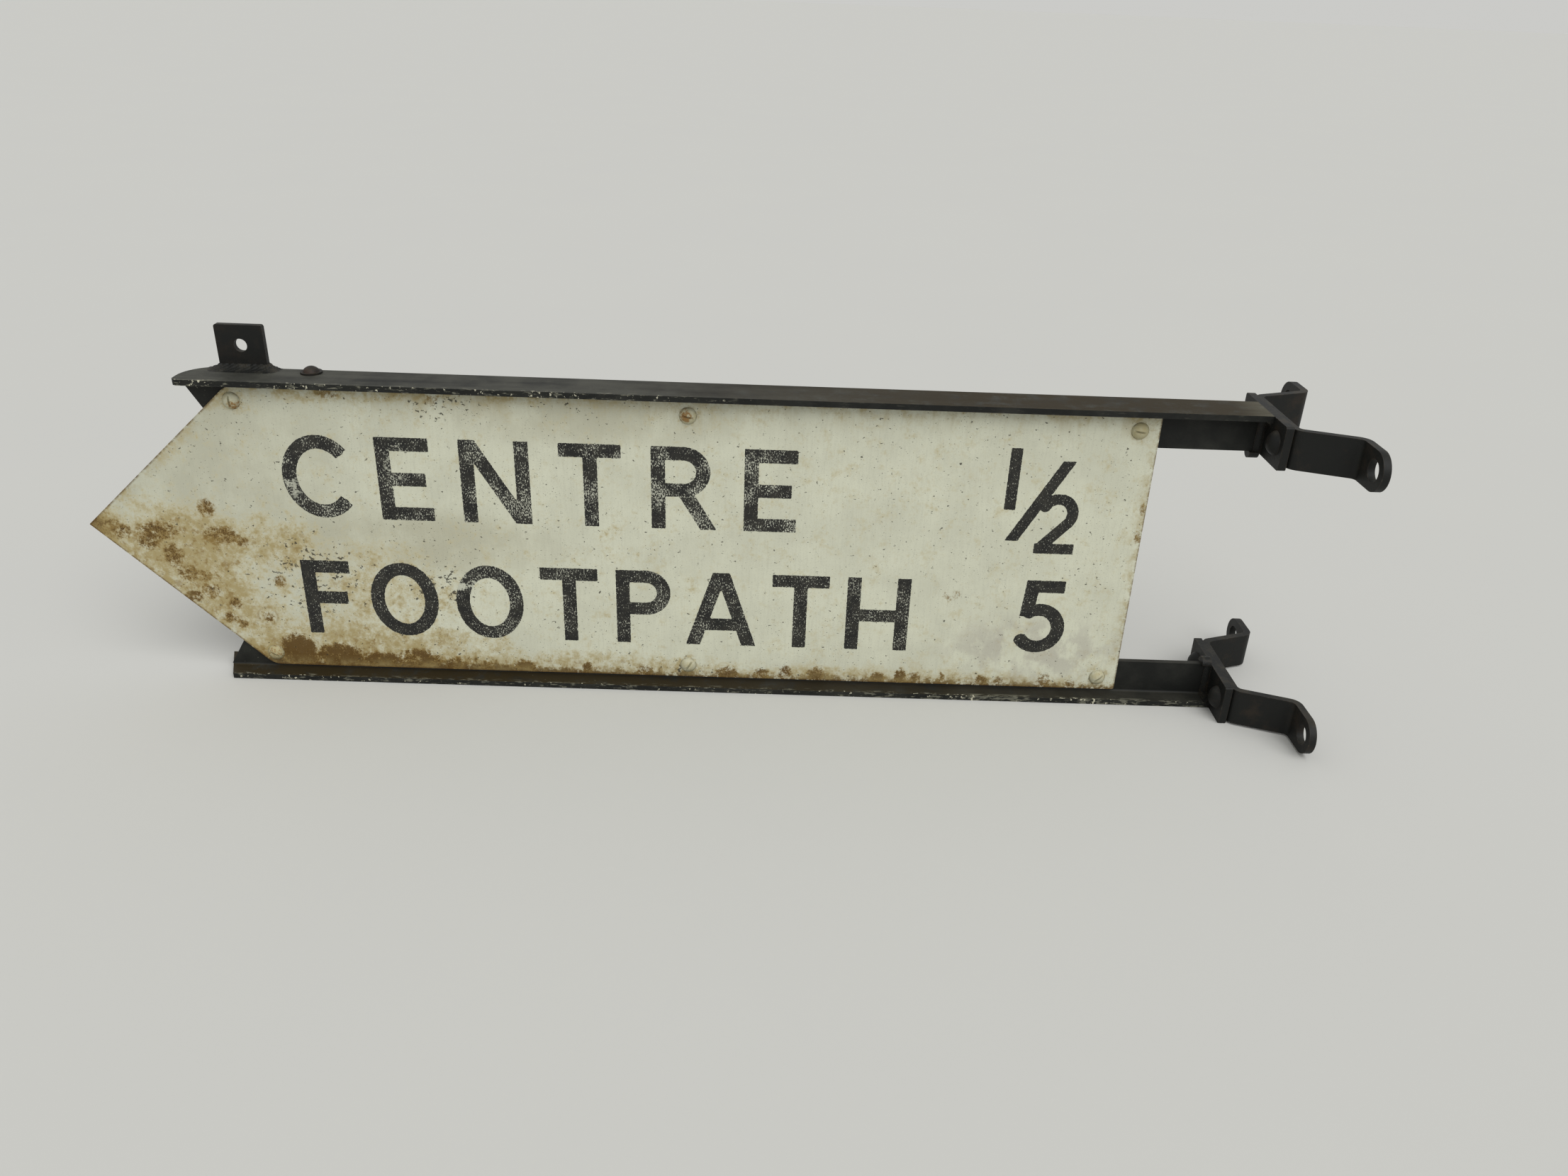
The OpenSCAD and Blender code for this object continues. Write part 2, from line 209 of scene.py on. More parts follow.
class Graph(Nodes):
    """A material's node tree, with a Principled shader at its end."""

    def __init__(self, name: str) -> None:
        """Makes an empty material with its shader and its Object coordinates.

        Args:
            name: the material's name.
        """
        self.material = bpy.data.materials.new(name)
        self.material.use_nodes = True
        super().__init__(self.material.node_tree)
        self.shader = self.node("ShaderNodeBsdfPrincipled", {}, {})
        self.node("ShaderNodeOutputMaterial", {}, {"Surface": self.shader.outputs[0]})
        self.coordinates = self.node("ShaderNodeTexCoord", {}, {}).outputs["Object"]
        parts = self.node("ShaderNodeSeparateXYZ", {}, {0: self.coordinates})
        self.x, self.y, self.z = (Value(self, socket) for socket in parts.outputs)

    def noise(self, scale: float, detail: float, roughness: float,
              stretch: Triple = (1.0, 1.0, 1.0), shift: float = 0.0) -> Value:
        """Cloudy noise in Object coordinates.

        Args:
            scale: cells per metre.
            detail: number of finer layers.
            roughness: weight of the finer layers.
            stretch: factor on each coordinate; a small one draws the pattern out along that axis.
            shift: offset that gives a pattern of its own.

        Returns:
            Noise around 0.5.
        """
        place = self.node("ShaderNodeMapping", {"vector_type": "POINT"},
                          {"Vector": self.coordinates, "Location": (shift,) * 3, "Scale": stretch})
        inputs = {"Vector": place.outputs[0], "Scale": scale, "Detail": detail, "Roughness": roughness}
        return self.value("ShaderNodeTexNoise", {"noise_dimensions": "3D"}, inputs)

    def edges(self, radius: float) -> Value:
        """How sharply the surface turns, from the angle between its own normal and a rounded one.

        Args:
            radius: how far round a place the rounding looks, in metres.

        Returns:
            0 on a flat and near 0.3 on a square edge.
        """
        rounded = self.node("ShaderNodeBevel", {"samples": 6}, {"Radius": radius})
        plain = self.node("ShaderNodeNewGeometry", {}, {})
        match = self.value("ShaderNodeVectorMath", {"operation": "DOT_PRODUCT"},
                           {0: rounded.outputs[0], 1: plain.outputs["Normal"]}, "Value")
        return 1 - match

    def facing_up(self) -> Value:
        """Which faces look up.

        Returns:
            1 on a level face and 0 on upright ones.
        """
        plain = self.node("ShaderNodeNewGeometry", {}, {})
        parts = self.node("ShaderNodeSeparateXYZ", {}, {0: plain.outputs["True Normal"]})
        return Value(self, parts.outputs[2]).rise(0.5, 0.9)

    def finish(self, colour: bpy.types.NodeSocket, roughness: Value | float, height: Value,
               depth: float, specular: float) -> bpy.types.Material:
        """Joins the finish to the shader.

        Args:
            colour: base colour.
            roughness: surface roughness.
            height: relief from 0 to 1.
            depth: height in metres that 1 stands for.
            specular: the shader's constant specular level.

        Returns:
            The finished material.
        """
        bump = self.node("ShaderNodeBump", {}, {"Height": height, "Distance": depth, "Strength": 1.0})
        joined = {"Base Color": colour, "Roughness": roughness, "Normal": bump.outputs[0],
                  "Specular IOR Level": specular}
        for name, given in joined.items():
            self.feed(self.shader.inputs[name], given)
        return self.material


@dataclass(frozen=True)
class Stain:
    """One oval patch of rust, dirt or wear on the arm's front.

    Args:
        place: middle in X and Z.
        reach: half width and half height.
        amount: how strong it is; 1 is plain, and more spreads it.
    """

    place: Point
    reach: Point
    amount: float

    def mask(self, graph: Graph) -> Value:
        """Its strength over the surface: an oval that fades outwards from its middle.

        Args:
            graph: the material that it goes into.

        Returns:
            The mask, from 0 to its amount.
        """
        across = (graph.x - self.place[0]) / self.reach[0]
        upward = (graph.z - self.place[1]) / self.reach[1]
        return (across * across + upward * upward).rise(1.6, 0.0) * self.amount


def strongest(graph: Graph, stains: tuple[Stain, ...]) -> Value:
    """Joins several stains.

    Args:
        graph: the material that they go into.
        stains: the stains.

    Returns:
        The strongest of their masks at each place.
    """
    most = stains[0].mask(graph)
    for stain in stains[1:]:
        most = most.highest(stain.mask(graph))
    return most


class PlateClouds:
    """The noises that the plate's coats share."""

    def __init__(self, graph: Graph) -> None:
        """Sets up the noises and the mask of the front face.

        Args:
            graph: the material that they go into.
        """
        self.mottle = graph.noise(17, 5, 0.65)
        self.blotch = graph.noise(72, 6, 0.72, shift=7.0)
        self.grain = graph.noise(250, 4, 0.7, shift=5.0)
        self.fine = graph.noise(900, 2, 0.6)
        self.weave = graph.noise(520, 1, 0.5, (1.0, 1.0, 0.10), 1.0)
        self.soft = self.blotch * 0.6 + self.grain * 0.4
        self.front = graph.y.rise(PLATE_FACE + 0.0022, PLATE_FACE + 0.0012)


@dataclass(frozen=True)
class PlatePaint:
    """Old off-white paint on steel: mottled, dirty at its edges, and rusty at the point and the foot.

    Args:
        corners: the plate's outline in X and Z, in order from the point.
        foot: Z of its lower edge.
        haze: where rust has yellowed the paint.
        veils: where the paint is dull without rust.
        spots: where rust has come through.
        drifts: where black crumbs lie thick.
        smudge: grey smear round the lower numeral.
        ring: middle of the ring that a washer has left.
        ring_radius: that ring's radius.
        relief: depth of the paint's texture.
        specular: the shader's specular level.
    """

    white: Colour = srgb(198, 199, 179)
    grey: Colour = srgb(168, 168, 151)
    dull: Colour = srgb(162, 159, 137)
    cream: Colour = srgb(180, 173, 142)
    ochre: Colour = srgb(153, 137, 92)
    brown: Colour = srgb(126, 102, 54)
    dark_brown: Colour = srgb(80, 58, 26)
    soot: Colour = srgb(46, 42, 33)
    smudge_grey: Colour = srgb(162, 158, 146)
    back_grey: Colour = srgb(150, 149, 136)
    corners: tuple[Point, ...] = ((-0.51082, 0.138), (-0.37682, 0.008), (0.36918, 0.008),
                                  (0.36918, 0.262), (-0.37682, 0.262))
    foot: float = 0.008
    haze: tuple[Stain, ...] = (
        Stain((-0.440, 0.116), (0.074, 0.048), 1.00),
        Stain((-0.368, 0.124), (0.060, 0.028), 0.78),
        Stain((-0.425, 0.074), (0.050, 0.050), 0.90),
        Stain((-0.390, 0.045), (0.050, 0.040), 0.72),
        Stain((-0.300, 0.026), (0.140, 0.032), 0.86),
        Stain((-0.120, 0.012), (0.200, 0.018), 0.70),
        Stain((0.180, 0.012), (0.220, 0.012), 0.60),
        Stain((-0.290, 0.085), (0.090, 0.050), 0.52),
        Stain((-0.506, 0.137), (0.030, 0.026), 1.15),
        Stain((-0.300, 0.262), (0.200, 0.012), 0.45),
    )
    veils: tuple[Stain, ...] = (
        Stain((-0.245, 0.130), (0.120, 0.030), 1.00),
        Stain((-0.090, 0.246), (0.130, 0.024), 0.80),
        Stain((-0.380, 0.200), (0.080, 0.080), 0.50),
    )
    spots: tuple[Stain, ...] = (
        Stain((-0.486, 0.133), (0.011, 0.008), 0.75),
        Stain((-0.456, 0.134), (0.020, 0.009), 1.00),
        Stain((-0.465, 0.123), (0.010, 0.008), 1.00),
        Stain((-0.446, 0.111), (0.010, 0.013), 0.95),
        Stain((-0.411, 0.156), (0.009, 0.009), 0.85),
        Stain((-0.402, 0.131), (0.017, 0.010), 0.95),
        Stain((-0.386, 0.126), (0.006, 0.005), 1.05),
        Stain((-0.437, 0.095), (0.012, 0.008), 0.85),
        Stain((-0.422, 0.093), (0.013, 0.006), 0.65),
        Stain((-0.436, 0.073), (0.009, 0.006), 1.15),
        Stain((-0.420, 0.078), (0.010, 0.008), 0.85),
        Stain((-0.409, 0.053), (0.008, 0.006), 1.10),
        Stain((-0.399, 0.048), (0.006, 0.005), 0.95),
        Stain((-0.401, 0.067), (0.006, 0.007), 0.90),
        Stain((-0.360, 0.090), (0.006, 0.006), 0.85),
        Stain((-0.375, 0.055), (0.006, 0.005), 0.95),
        Stain((-0.508, 0.138), (0.010, 0.010), 1.20),
        Stain((-0.498, 0.136), (0.018, 0.013), 0.62),
        Stain((-0.353, 0.022), (0.017, 0.018), 1.80),
        Stain((-0.318, 0.018), (0.024, 0.013), 1.65),
        Stain((-0.280, 0.015), (0.022, 0.009), 1.40),
        Stain((-0.248, 0.018), (0.020, 0.010), 1.30),
        Stain((-0.217, 0.012), (0.010, 0.008), 1.20),
        Stain((-0.189, 0.012), (0.008, 0.006), 1.00),
        Stain((-0.155, 0.012), (0.011, 0.009), 1.30),
        Stain((-0.100, 0.012), (0.006, 0.008), 1.10),
        Stain((-0.050, 0.012), (0.009, 0.007), 1.00),
        Stain((0.024, 0.012), (0.011, 0.008), 1.35),
        Stain((0.054, 0.012), (0.008, 0.007), 1.10),
        Stain((0.075, 0.014), (0.006, 0.010), 1.20),
        Stain((0.102, 0.013), (0.008, 0.009), 1.30),
        Stain((0.157, 0.012), (0.007, 0.007), 1.20),
        Stain((0.177, 0.013), (0.006, 0.010), 1.30),
        Stain((0.190, 0.012), (0.007, 0.008), 1.15),
        Stain((0.214, 0.013), (0.004, 0.008), 0.80),
        Stain((0.249, 0.012), (0.006, 0.007), 1.10),
        Stain((0.305, 0.014), (0.007, 0.009), 1.00),
        Stain((-0.297, 0.259), (0.011, 0.005), 0.85),
        Stain((-0.213, 0.256), (0.008, 0.006), 0.65),
        Stain((0.265, 0.012), (0.005, 0.006), 0.90),
        Stain((0.330, 0.012), (0.006, 0.006), 0.90),
        Stain((0.366, 0.157), (0.004, 0.008), 0.85),
        Stain((0.366, 0.182), (0.003, 0.006), 0.75),
        Stain((0.215, 0.097), (0.010, 0.007), 0.45),
    )
    drifts: tuple[Stain, ...] = (
        Stain((-0.330, 0.095), (0.050, 0.042), 1.00),
        Stain((-0.222, 0.088), (0.036, 0.026), 1.00),
        Stain((-0.205, 0.250), (0.034, 0.012), 0.80),
        Stain((-0.110, 0.250), (0.030, 0.010), 0.62),
        Stain((-0.011, 0.018), (0.016, 0.014), 0.80),
    )
    smudge: Stain = Stain((0.292, 0.046), (0.080, 0.032), 1.0)
    ring: Point = (-0.3755, 0.0557)
    ring_radius: float = 0.0083
    relief: float = 0.00020
    specular: float = 0.20

    def inset(self, graph: Graph) -> Value:
        """Distance from the outline inwards: the least over its straight sides.

        Args:
            graph: the material that it goes into.

        Returns:
            The distance in metres, negative beyond the outline.
        """
        least = None
        for start, end in zip(self.corners, self.corners[1:] + self.corners[:1]):
            run = (end[0] - start[0], end[1] - start[1])
            length = math.hypot(*run)
            side = (graph.z - start[1]) * (run[0] / length) - (graph.x - start[0]) * (run[1] / length)
            least = side if least is None else least.lowest(side)
        return least

    def halos(self, graph: Graph) -> Value:
        """Dirty rims round the screws, by the distance to the nearest of three columns and two rows.

        Args:
            graph: the material that they go into.

        Returns:
            The mask, 1 at a screw's rim and 0 away from it.
        """
        first, last = SCREW_COLUMNS
        step = (last - first) / 2
        nearest = ((graph.x - first) / step).math("ROUND") * step + first
        middle = (SCREW_ROWS[0] + SCREW_ROWS[1]) / 2
        half = (SCREW_ROWS[1] - SCREW_ROWS[0]) / 2
        across = graph.x - nearest
        upward = abs(graph.z - middle) - half
        return (across * across + upward * upward).root().rise(0.0145, 0.0068)

    def foot_grime(self, graph: Graph) -> Value:
        """Brown band along the lower edge, highest at the left.

        Its height is a slow noise along X times a height that falls to the right, plus a quick
        noise along X for peaks and a ragged noise in all directions.

        Args:
            graph: the material that it goes into.

        Returns:
            The band's mask.
        """
        along = graph.noise(46, 4, 0.7, (1.0, 0.0, 0.0), 3.0)
        peaks = graph.noise(105, 3, 0.65, (1.0, 0.0, 0.0), 17.0).rise(0.48, 0.66)
        left = graph.x.rise(-0.06, -0.33)
        ragged = (graph.noise(170, 4, 0.7, shift=1.0) - 0.5) * 0.020
        reach = (along.rise(0.34, 0.60) * 0.8 + 0.2) * (left * 0.0126 + 0.0030) + peaks * 0.0034 + ragged
        return (graph.z - self.foot - reach).rise(0.0055, -0.0025)

    def specks(self, graph: Graph) -> Value:
        """Black specks: fine ones in loose clouds, fewer to the right, and crumbs where the drifts lie.

        Args:
            graph: the material that they go into.

        Returns:
            The specks' mask.
        """
        crowd = strongest(graph, self.drifts)
        patch = graph.noise(75, 3, 0.6, shift=9.0).rise(0.44, 0.58)
        cells = graph.noise(760, 2, 0.55, shift=4.0)
        flakes = graph.noise(330, 3, 0.65, (0.75, 1.0, 1.0), 14.0)
        drift = graph.noise(11, 2, 0.5, shift=12.0).rise(0.46, 0.66)
        crumbs = (flakes + crowd * patch * 0.130).rise(0.660, 0.695)
        clean = graph.x.rise(-0.10, 0.15) * 0.012
        return (cells + drift * 0.024 - clean).rise(0.694, 0.742).highest(crumbs)

    def ring_mark(self, graph: Graph) -> Value:
        """Thin broken ring left by a round washer.

        Args:
            graph: the material that it goes into.

        Returns:
            The ring's mask.
        """
        across, upward = graph.x - self.ring[0], graph.z - self.ring[1]
        away = abs((across * across + upward * upward).root() - self.ring_radius)
        return away.rise(0.0016, 0.0003) * graph.noise(150, 3, 0.6, shift=3.0).rise(0.34, 0.56)

    def old_white(self, graph: Graph, clouds: PlateClouds) -> bpy.types.NodeSocket:
        """White that has gone grey in clouds, greyer to the left, and cream to ochre in the haze.

        Args:
            graph: the material that it goes into.
            clouds: the plate's noises.

        Returns:
            The colour.
        """
        haze = strongest(graph, self.haze) * clouds.front
        # greyer towards the left end
        greyer_leftward = graph.x.rise(-0.16, -0.46) * 0.42
        colour = graph.mix(clouds.mottle.rise(0.36, 0.68) * 0.35 + greyer_leftward, self.white, self.grey)
        colour = graph.mix((clouds.fine + clouds.weave * 0.6).rise(0.78, 1.00) * 0.30, colour, self.grey)
        veil = strongest(graph, self.veils) * clouds.front * clouds.mottle.rise(0.22, 0.60)
        colour = graph.mix(veil * 0.62, colour, self.dull)
        colour = graph.mix((clouds.soft + haze * 0.25).rise(0.50, 0.68) * 0.80, colour, self.cream)
        clean = graph.x.rise(-0.05, 0.15) * 0.022
        colour = graph.mix((clouds.soft + haze * 0.24 - clean).rise(0.59, 0.78) * 0.85, colour, self.ochre)
        freckles = graph.noise(120, 5, 0.7, shift=6.0)
        return graph.mix((freckles + haze * 0.15).rise(0.655, 0.775) * haze * 0.70, colour, self.brown)

    def grimy(self, graph: Graph, clouds: PlateClouds, grime: Value,
              colour: bpy.types.NodeSocket) -> bpy.types.NodeSocket:
        """Lays ochre rims round the screws, and ochre, brown and a dark core on the foot's band.

        Args:
            graph: the material that it goes into.
            clouds: the plate's noises.
            grime: the foot band's mask.
            colour: the colour so far.

        Returns:
            The new colour.
        """
        halo = self.halos(graph) * clouds.front * (clouds.blotch + clouds.grain - 0.5).rise(0.34, 0.72)
        colour = graph.mix(halo * 0.60, colour, self.ochre)
        left = graph.x.rise(-0.02, -0.22)
        colour = graph.mix(grime * (left * 0.45 + 0.30), colour, self.ochre)
        brown = clouds.grain.rise(0.38, 0.56) * (left * 0.45 + 0.45)
        colour = graph.mix(grime * brown, colour, self.brown)
        low = (graph.z - self.foot).rise(0.0110, 0.0005) * (graph.x.rise(0.05, -0.30) * 0.4 + 0.6)
        core = (clouds.soft + low * 0.22 + grime * 0.06).rise(0.585, 0.695) * grime
        return graph.mix(core * 0.88, colour, self.dark_brown)

    def marked(self, graph: Graph, clouds: PlateClouds, inset: Value,
               colour: bpy.types.NodeSocket) -> bpy.types.NodeSocket:
        """Lays the smudge, drips from the top edge, the ring, a dirty rim and black specks.

        Args:
            graph: the material that it goes into.
            clouds: the plate's noises.
            inset: distance inwards from the outline.
            colour: the colour so far.

        Returns:
            The new colour.
        """
        smear = graph.noise(52, 4, 0.6, (1.0, 1.0, 0.8), 21.0).rise(0.40, 0.58) * self.smudge.mask(graph)
        colour = graph.mix(smear * clouds.front * 0.62, colour, self.smudge_grey)
        drips = graph.noise(75, 3, 0.65, (1.0, 1.0, 0.12), 13.0).rise(0.50, 0.68)
        colour = graph.mix(drips * graph.z.rise(0.236, 0.262) * clouds.front * 0.40, colour, self.ochre)
        colour = graph.mix(self.ring_mark(graph) * clouds.front * 0.45, colour, self.brown)
        rim = inset.rise(0.0120, 0.0) * (clouds.blotch + clouds.grain * 0.4).rise(0.58, 0.86)
        colour = graph.mix(rim * 0.6, colour, self.ochre)
        brink = inset.rise(0.0020, 0.0001) * clouds.grain.rise(0.32, 0.55)
        colour = graph.mix(brink * 0.75, colour, self.dark_brown)
        return graph.mix(self.specks(graph) * clouds.front * 0.85, colour, self.soot)

    def aged_back(self, graph: Graph, clouds: PlateClouds, inset: Value) -> bpy.types.NodeSocket:
        """Back of the plate: mottled grey with cream runs, and rust that grows towards the outline.

        Args:
            graph: the material that it goes into.
            clouds: the plate's noises.
            inset: distance inwards from the outline.

        Returns:
            The back's colour.
        """
        clouded = clouds.mottle.rise(0.36, 0.64) * 0.55 + clouds.grain * 0.2
        colour = graph.mix(clouded, self.back_grey, self.grey)
        runs = graph.noise(38, 5, 0.7, (1.0, 1.0, 0.16), 11.0).rise(0.52, 0.72)
        colour = graph.mix(runs * 0.35, colour, self.cream)
        rim = inset.rise(0.045, 0.010) * 0.09
        colour = graph.mix((clouds.soft + rim).rise(0.56, 0.72) * 0.55, colour, self.ochre)
        return graph.mix((clouds.soft + rim).rise(0.62, 0.76) * 0.70, colour, self.brown)

    def build(self) -> bpy.types.Material:
        """Lays the coats from the white outwards, on Object coordinates, with the stains on the front only.

        Clouds of noise are lifted by the stains' ovals before they are cut off at a level, so that
        each stain breaks up into blotches that follow the noise.

        Returns:
            The plate's finish.
        """
        graph = Graph("plate_paint")
        clouds = PlateClouds(graph)
        inset = self.inset(graph)
        spots = strongest(graph, self.spots) * clouds.front
        grime = self.foot_grime(graph) * clouds.front
        colour = self.grimy(graph, clouds, grime, self.old_white(graph, clouds))
        crust = clouds.blotch * 0.4 + clouds.grain * 0.6
        rust = (crust + spots * 0.21).rise(0.55, 0.73) * spots.rise(0.0, 0.45)
        colour = graph.mix(rust * 0.84, colour, self.brown)
        pitted = clouds.grain * 0.6 + clouds.fine * 0.4
        pits = (pitted + spots * 0.15).rise(0.600, 0.695) * spots.rise(0.10, 0.75)
        colour = graph.mix(pits * 0.84, colour, self.dark_brown)
        colour = self.marked(graph, clouds, inset, colour)
        back = graph.y.rise(PLATE_FACE + 0.0026, PLATE_FACE + 0.0032)
        colour = graph.mix(back, colour, self.aged_back(graph, clouds, inset))
        height = clouds.fine * 0.35 + clouds.weave * 0.30 + clouds.grain * 0.25 - rust * clouds.grain * 0.8
        rough = 0.48 + clouds.mottle * 0.14 + (rust + grime) * 0.20
        return graph.finish(colour, rough, height, self.relief, self.specular)


@dataclass(frozen=True)
class InkPaint:
    """Black lettering paint with fine upright flecks where the white shows through.

    Args:
        line_level: Z between the two lines.
        numerals_left: X left of the numerals.
        worn_right: X from which the lower line is worn.
        losses: where the paint has flaked off.
        relief: depth of the flecks.
        specular: the shader's specular level.
    """

    black: Colour = srgb(28, 28, 26)
    soft: Colour = srgb(44, 43, 38)
    white: Colour = srgb(188, 189, 172)
    line_level: float = 0.130
    numerals_left: float = 0.235
    worn_right: float = -0.200
    losses: tuple[Stain, ...] = (
        Stain((-0.336, 0.178), (0.009, 0.011), 0.75),
        Stain((-0.208, 0.094), (0.026, 0.013), 1.00),
        Stain((-0.250, 0.196), (0.010, 0.014), 0.75),
    )
    relief: float = 0.0001
    specular: float = 0.30

    def build(self) -> bpy.types.Material:
        """Black, slightly mottled, with flecks from fine noise that patches of wear let through.

        The upper line is worn most, the lower one from its third letter on, the numerals hardly.

        Returns:
            The lettering's finish.
        """
        graph = Graph("lettering_paint")
        flecks = graph.noise(1050, 3, 0.7, (1.0, 1.0, 0.50))
        patches = graph.noise(52, 4, 0.65, shift=3.0)
        upper = graph.z.rise(self.line_level - 0.01, self.line_level + 0.01)
        words = graph.x.rise(self.numerals_left, self.numerals_left - 0.02)
        lower = (1 - upper) * graph.x.rise(self.worn_right - 0.03, self.worn_right + 0.03)
        right = graph.x.rise(self.worn_right, self.worn_right + 0.08)
        wear = words * (upper * (0.064 + right * 0.020) + lower * 0.046 + 0.012) + 0.024
        mask = (flecks + patches.rise(0.36, 0.64) * wear).rise(0.632, 0.656)
        lost = strongest(graph, self.losses)
        mask = mask.highest((graph.noise(260, 4, 0.7, shift=6.0) + lost * 0.13).rise(0.615, 0.645) * lost)
        colour = graph.mix(graph.noise(120, 3, 0.6).rise(0.35, 0.7), self.black, self.soft)
        colour = graph.mix(mask * 0.90, colour, self.white)
        return graph.finish(colour, 0.55 + mask * 0.1, flecks, self.relief, self.specular)


class Chips(Enum):
    """Where the white paint of the plate shows as chips on a rail's front edge."""

    UPPER = "upper"
    LOWER = "lower"


@dataclass(frozen=True)
class RailPaint:
    """Black brush paint on rolled steel, dusty and with painted top light on top, with chips along its
    front edge.

    Args:
        chips: which rail's chips it has.
        front: Y just inside the table's front edge.
        dusty_end: X between which the upper rail turns ashy at its post end.
        relief: depth of the brush marks.
        specular: the shader's specular level.
    """

    chips: Chips
    black: Colour = srgb(24, 25, 23)
    # colour of the dusty tops with the light on them painted in; also used for the lighter edges and in the
    # mottle
    dust_and_sheen: Colour = srgb(71, 71, 64)
    olive: Colour = srgb(46, 38, 20)
    chip: Colour = srgb(180, 177, 156)
    scuff: Colour = srgb(124, 123, 108)
    front: float = -0.0172
    dusty_end: Point = (0.424, 0.456)
    relief: float = 0.00022
    specular: float = 0.17

    def chip_mask(self, graph: Graph) -> Value:
        """Chips: fine noise above a limit, on the front toe only, within the worn stretches.

        Args:
            graph: the material that they go into.

        Returns:
            The chips' mask.
        """
        toe = graph.y.rise(self.front + 0.0008, self.front - 0.0006)
        fine = graph.noise(360, 3, 0.65, (0.8, 1.0, 0.7), 8.0)
        coarse = graph.noise(19, 2, 0.5, shift=2.0).rise(0.42, 0.60)
        if self.chips is Chips.UPPER:
            toe = toe * graph.x.rise(0.08, -0.04)
            stretch = graph.x.rise(0.02, -0.10) * 0.085 + graph.x.rise(-0.30, -0.38) * 0.045
        else:
            right = graph.x.rise(0.14, 0.22) * graph.x.rise(0.40, 0.34)
            stretch = right * 0.090 + graph.x.rise(-0.28, -0.36) * 0.050
        return (fine + coarse * stretch).rise(0.660, 0.695) * toe

    def scuffs(self, graph: Graph) -> Value:
        """Fine level scratches along the front toe, thickest on the lower rail's right half.

        Args:
            graph: the material that they go into.

        Returns:
            The scratches' mask.
        """
        toe = graph.y.rise(self.front + 0.0030, self.front)
        lines = graph.noise(420, 3, 0.7, (0.22, 1.0, 1.0), 15.0)
        cloud = graph.noise(28, 3, 0.6, shift=16.0).rise(0.40, 0.60)
        if self.chips is Chips.UPPER:
            toe = toe * (graph.x.rise(0.08, -0.06) * 0.85 + 0.15)
            amount = graph.x.rise(0.02, -0.10) * 0.030
        else:
            amount = graph.x.rise(0.10, 0.24) * graph.x.rise(0.42, 0.36) * 0.085 + 0.050
        return (lines + cloud * amount).rise(0.57, 0.66) * toe

    def build(self) -> bpy.types.Material:
        """Layers: black, dust and painted top light on what looks up, olive rust, worn edges with a painted
        highlight, and scuffs and chips on the toe.

        Returns:
            The rail's finish.
        """
        graph = Graph(f"rail_paint_{self.chips.value}")
        upper = self.chips is Chips.UPPER
        cloud = graph.noise(24, 5, 0.65)
        grain = graph.noise(520, 3, 0.65, (0.5, 1.0, 1.0))
        streak = graph.noise(90, 3, 0.6, (0.12, 1.0, 1.0), 4.0)
        up = graph.facing_up()
        left = graph.x.rise(0.06, -0.12)
        colour = graph.mix(cloud.rise(0.40, 0.74) * 0.25, self.black, self.dust_and_sheen)
        # dust on what looks up, partly painted light: the tops are made lighter as if lit from above
        dust_and_top_light = (streak * 0.5 + cloud * 0.7).rise(0.28, 0.80) * (1.0 if upper else 0.35)
        colour = graph.mix(up * dust_and_top_light, colour, self.dust_and_sheen)
        rusty = (graph.x.rise(-0.12, 0.24) if upper else graph.x.rise(0.60, -0.20)) * up
        patches = graph.noise(62, 5, 0.7, shift=1.0).rise(0.26, 0.54)
        colour = graph.mix(rusty * patches * 0.90, colour, self.olive)
        # edges lighter: worn paint, and partly a painted highlight along them
        edge = graph.edges(0.0009).rise(0.03, 0.24) * grain.rise(0.40, 0.62)
        colour = graph.mix(edge * (left * 0.45 + 0.10 if upper else 0.42), colour, self.dust_and_sheen)
        colour = graph.mix(self.scuffs(graph) * 0.55, colour, self.scuff)
        if upper:
            ashy = graph.x.rise(*self.dusty_end) * up * streak.rise(0.30, 0.60)
            colour = graph.mix(ashy * 0.28, colour, self.scuff)
        fleck = graph.noise(700, 2, 0.5, shift=5.0).rise(0.70, 0.77) * cloud.rise(0.46, 0.62)
        colour = graph.mix(fleck * left * 0.35, colour, self.chip)
        colour = graph.mix(self.chip_mask(graph) * 0.92, colour, self.chip)
        rough = 0.44 + cloud * 0.18 + up * 0.12
        return graph.finish(colour, rough, grain * 0.5 + cloud * 0.5, self.relief, self.specular)


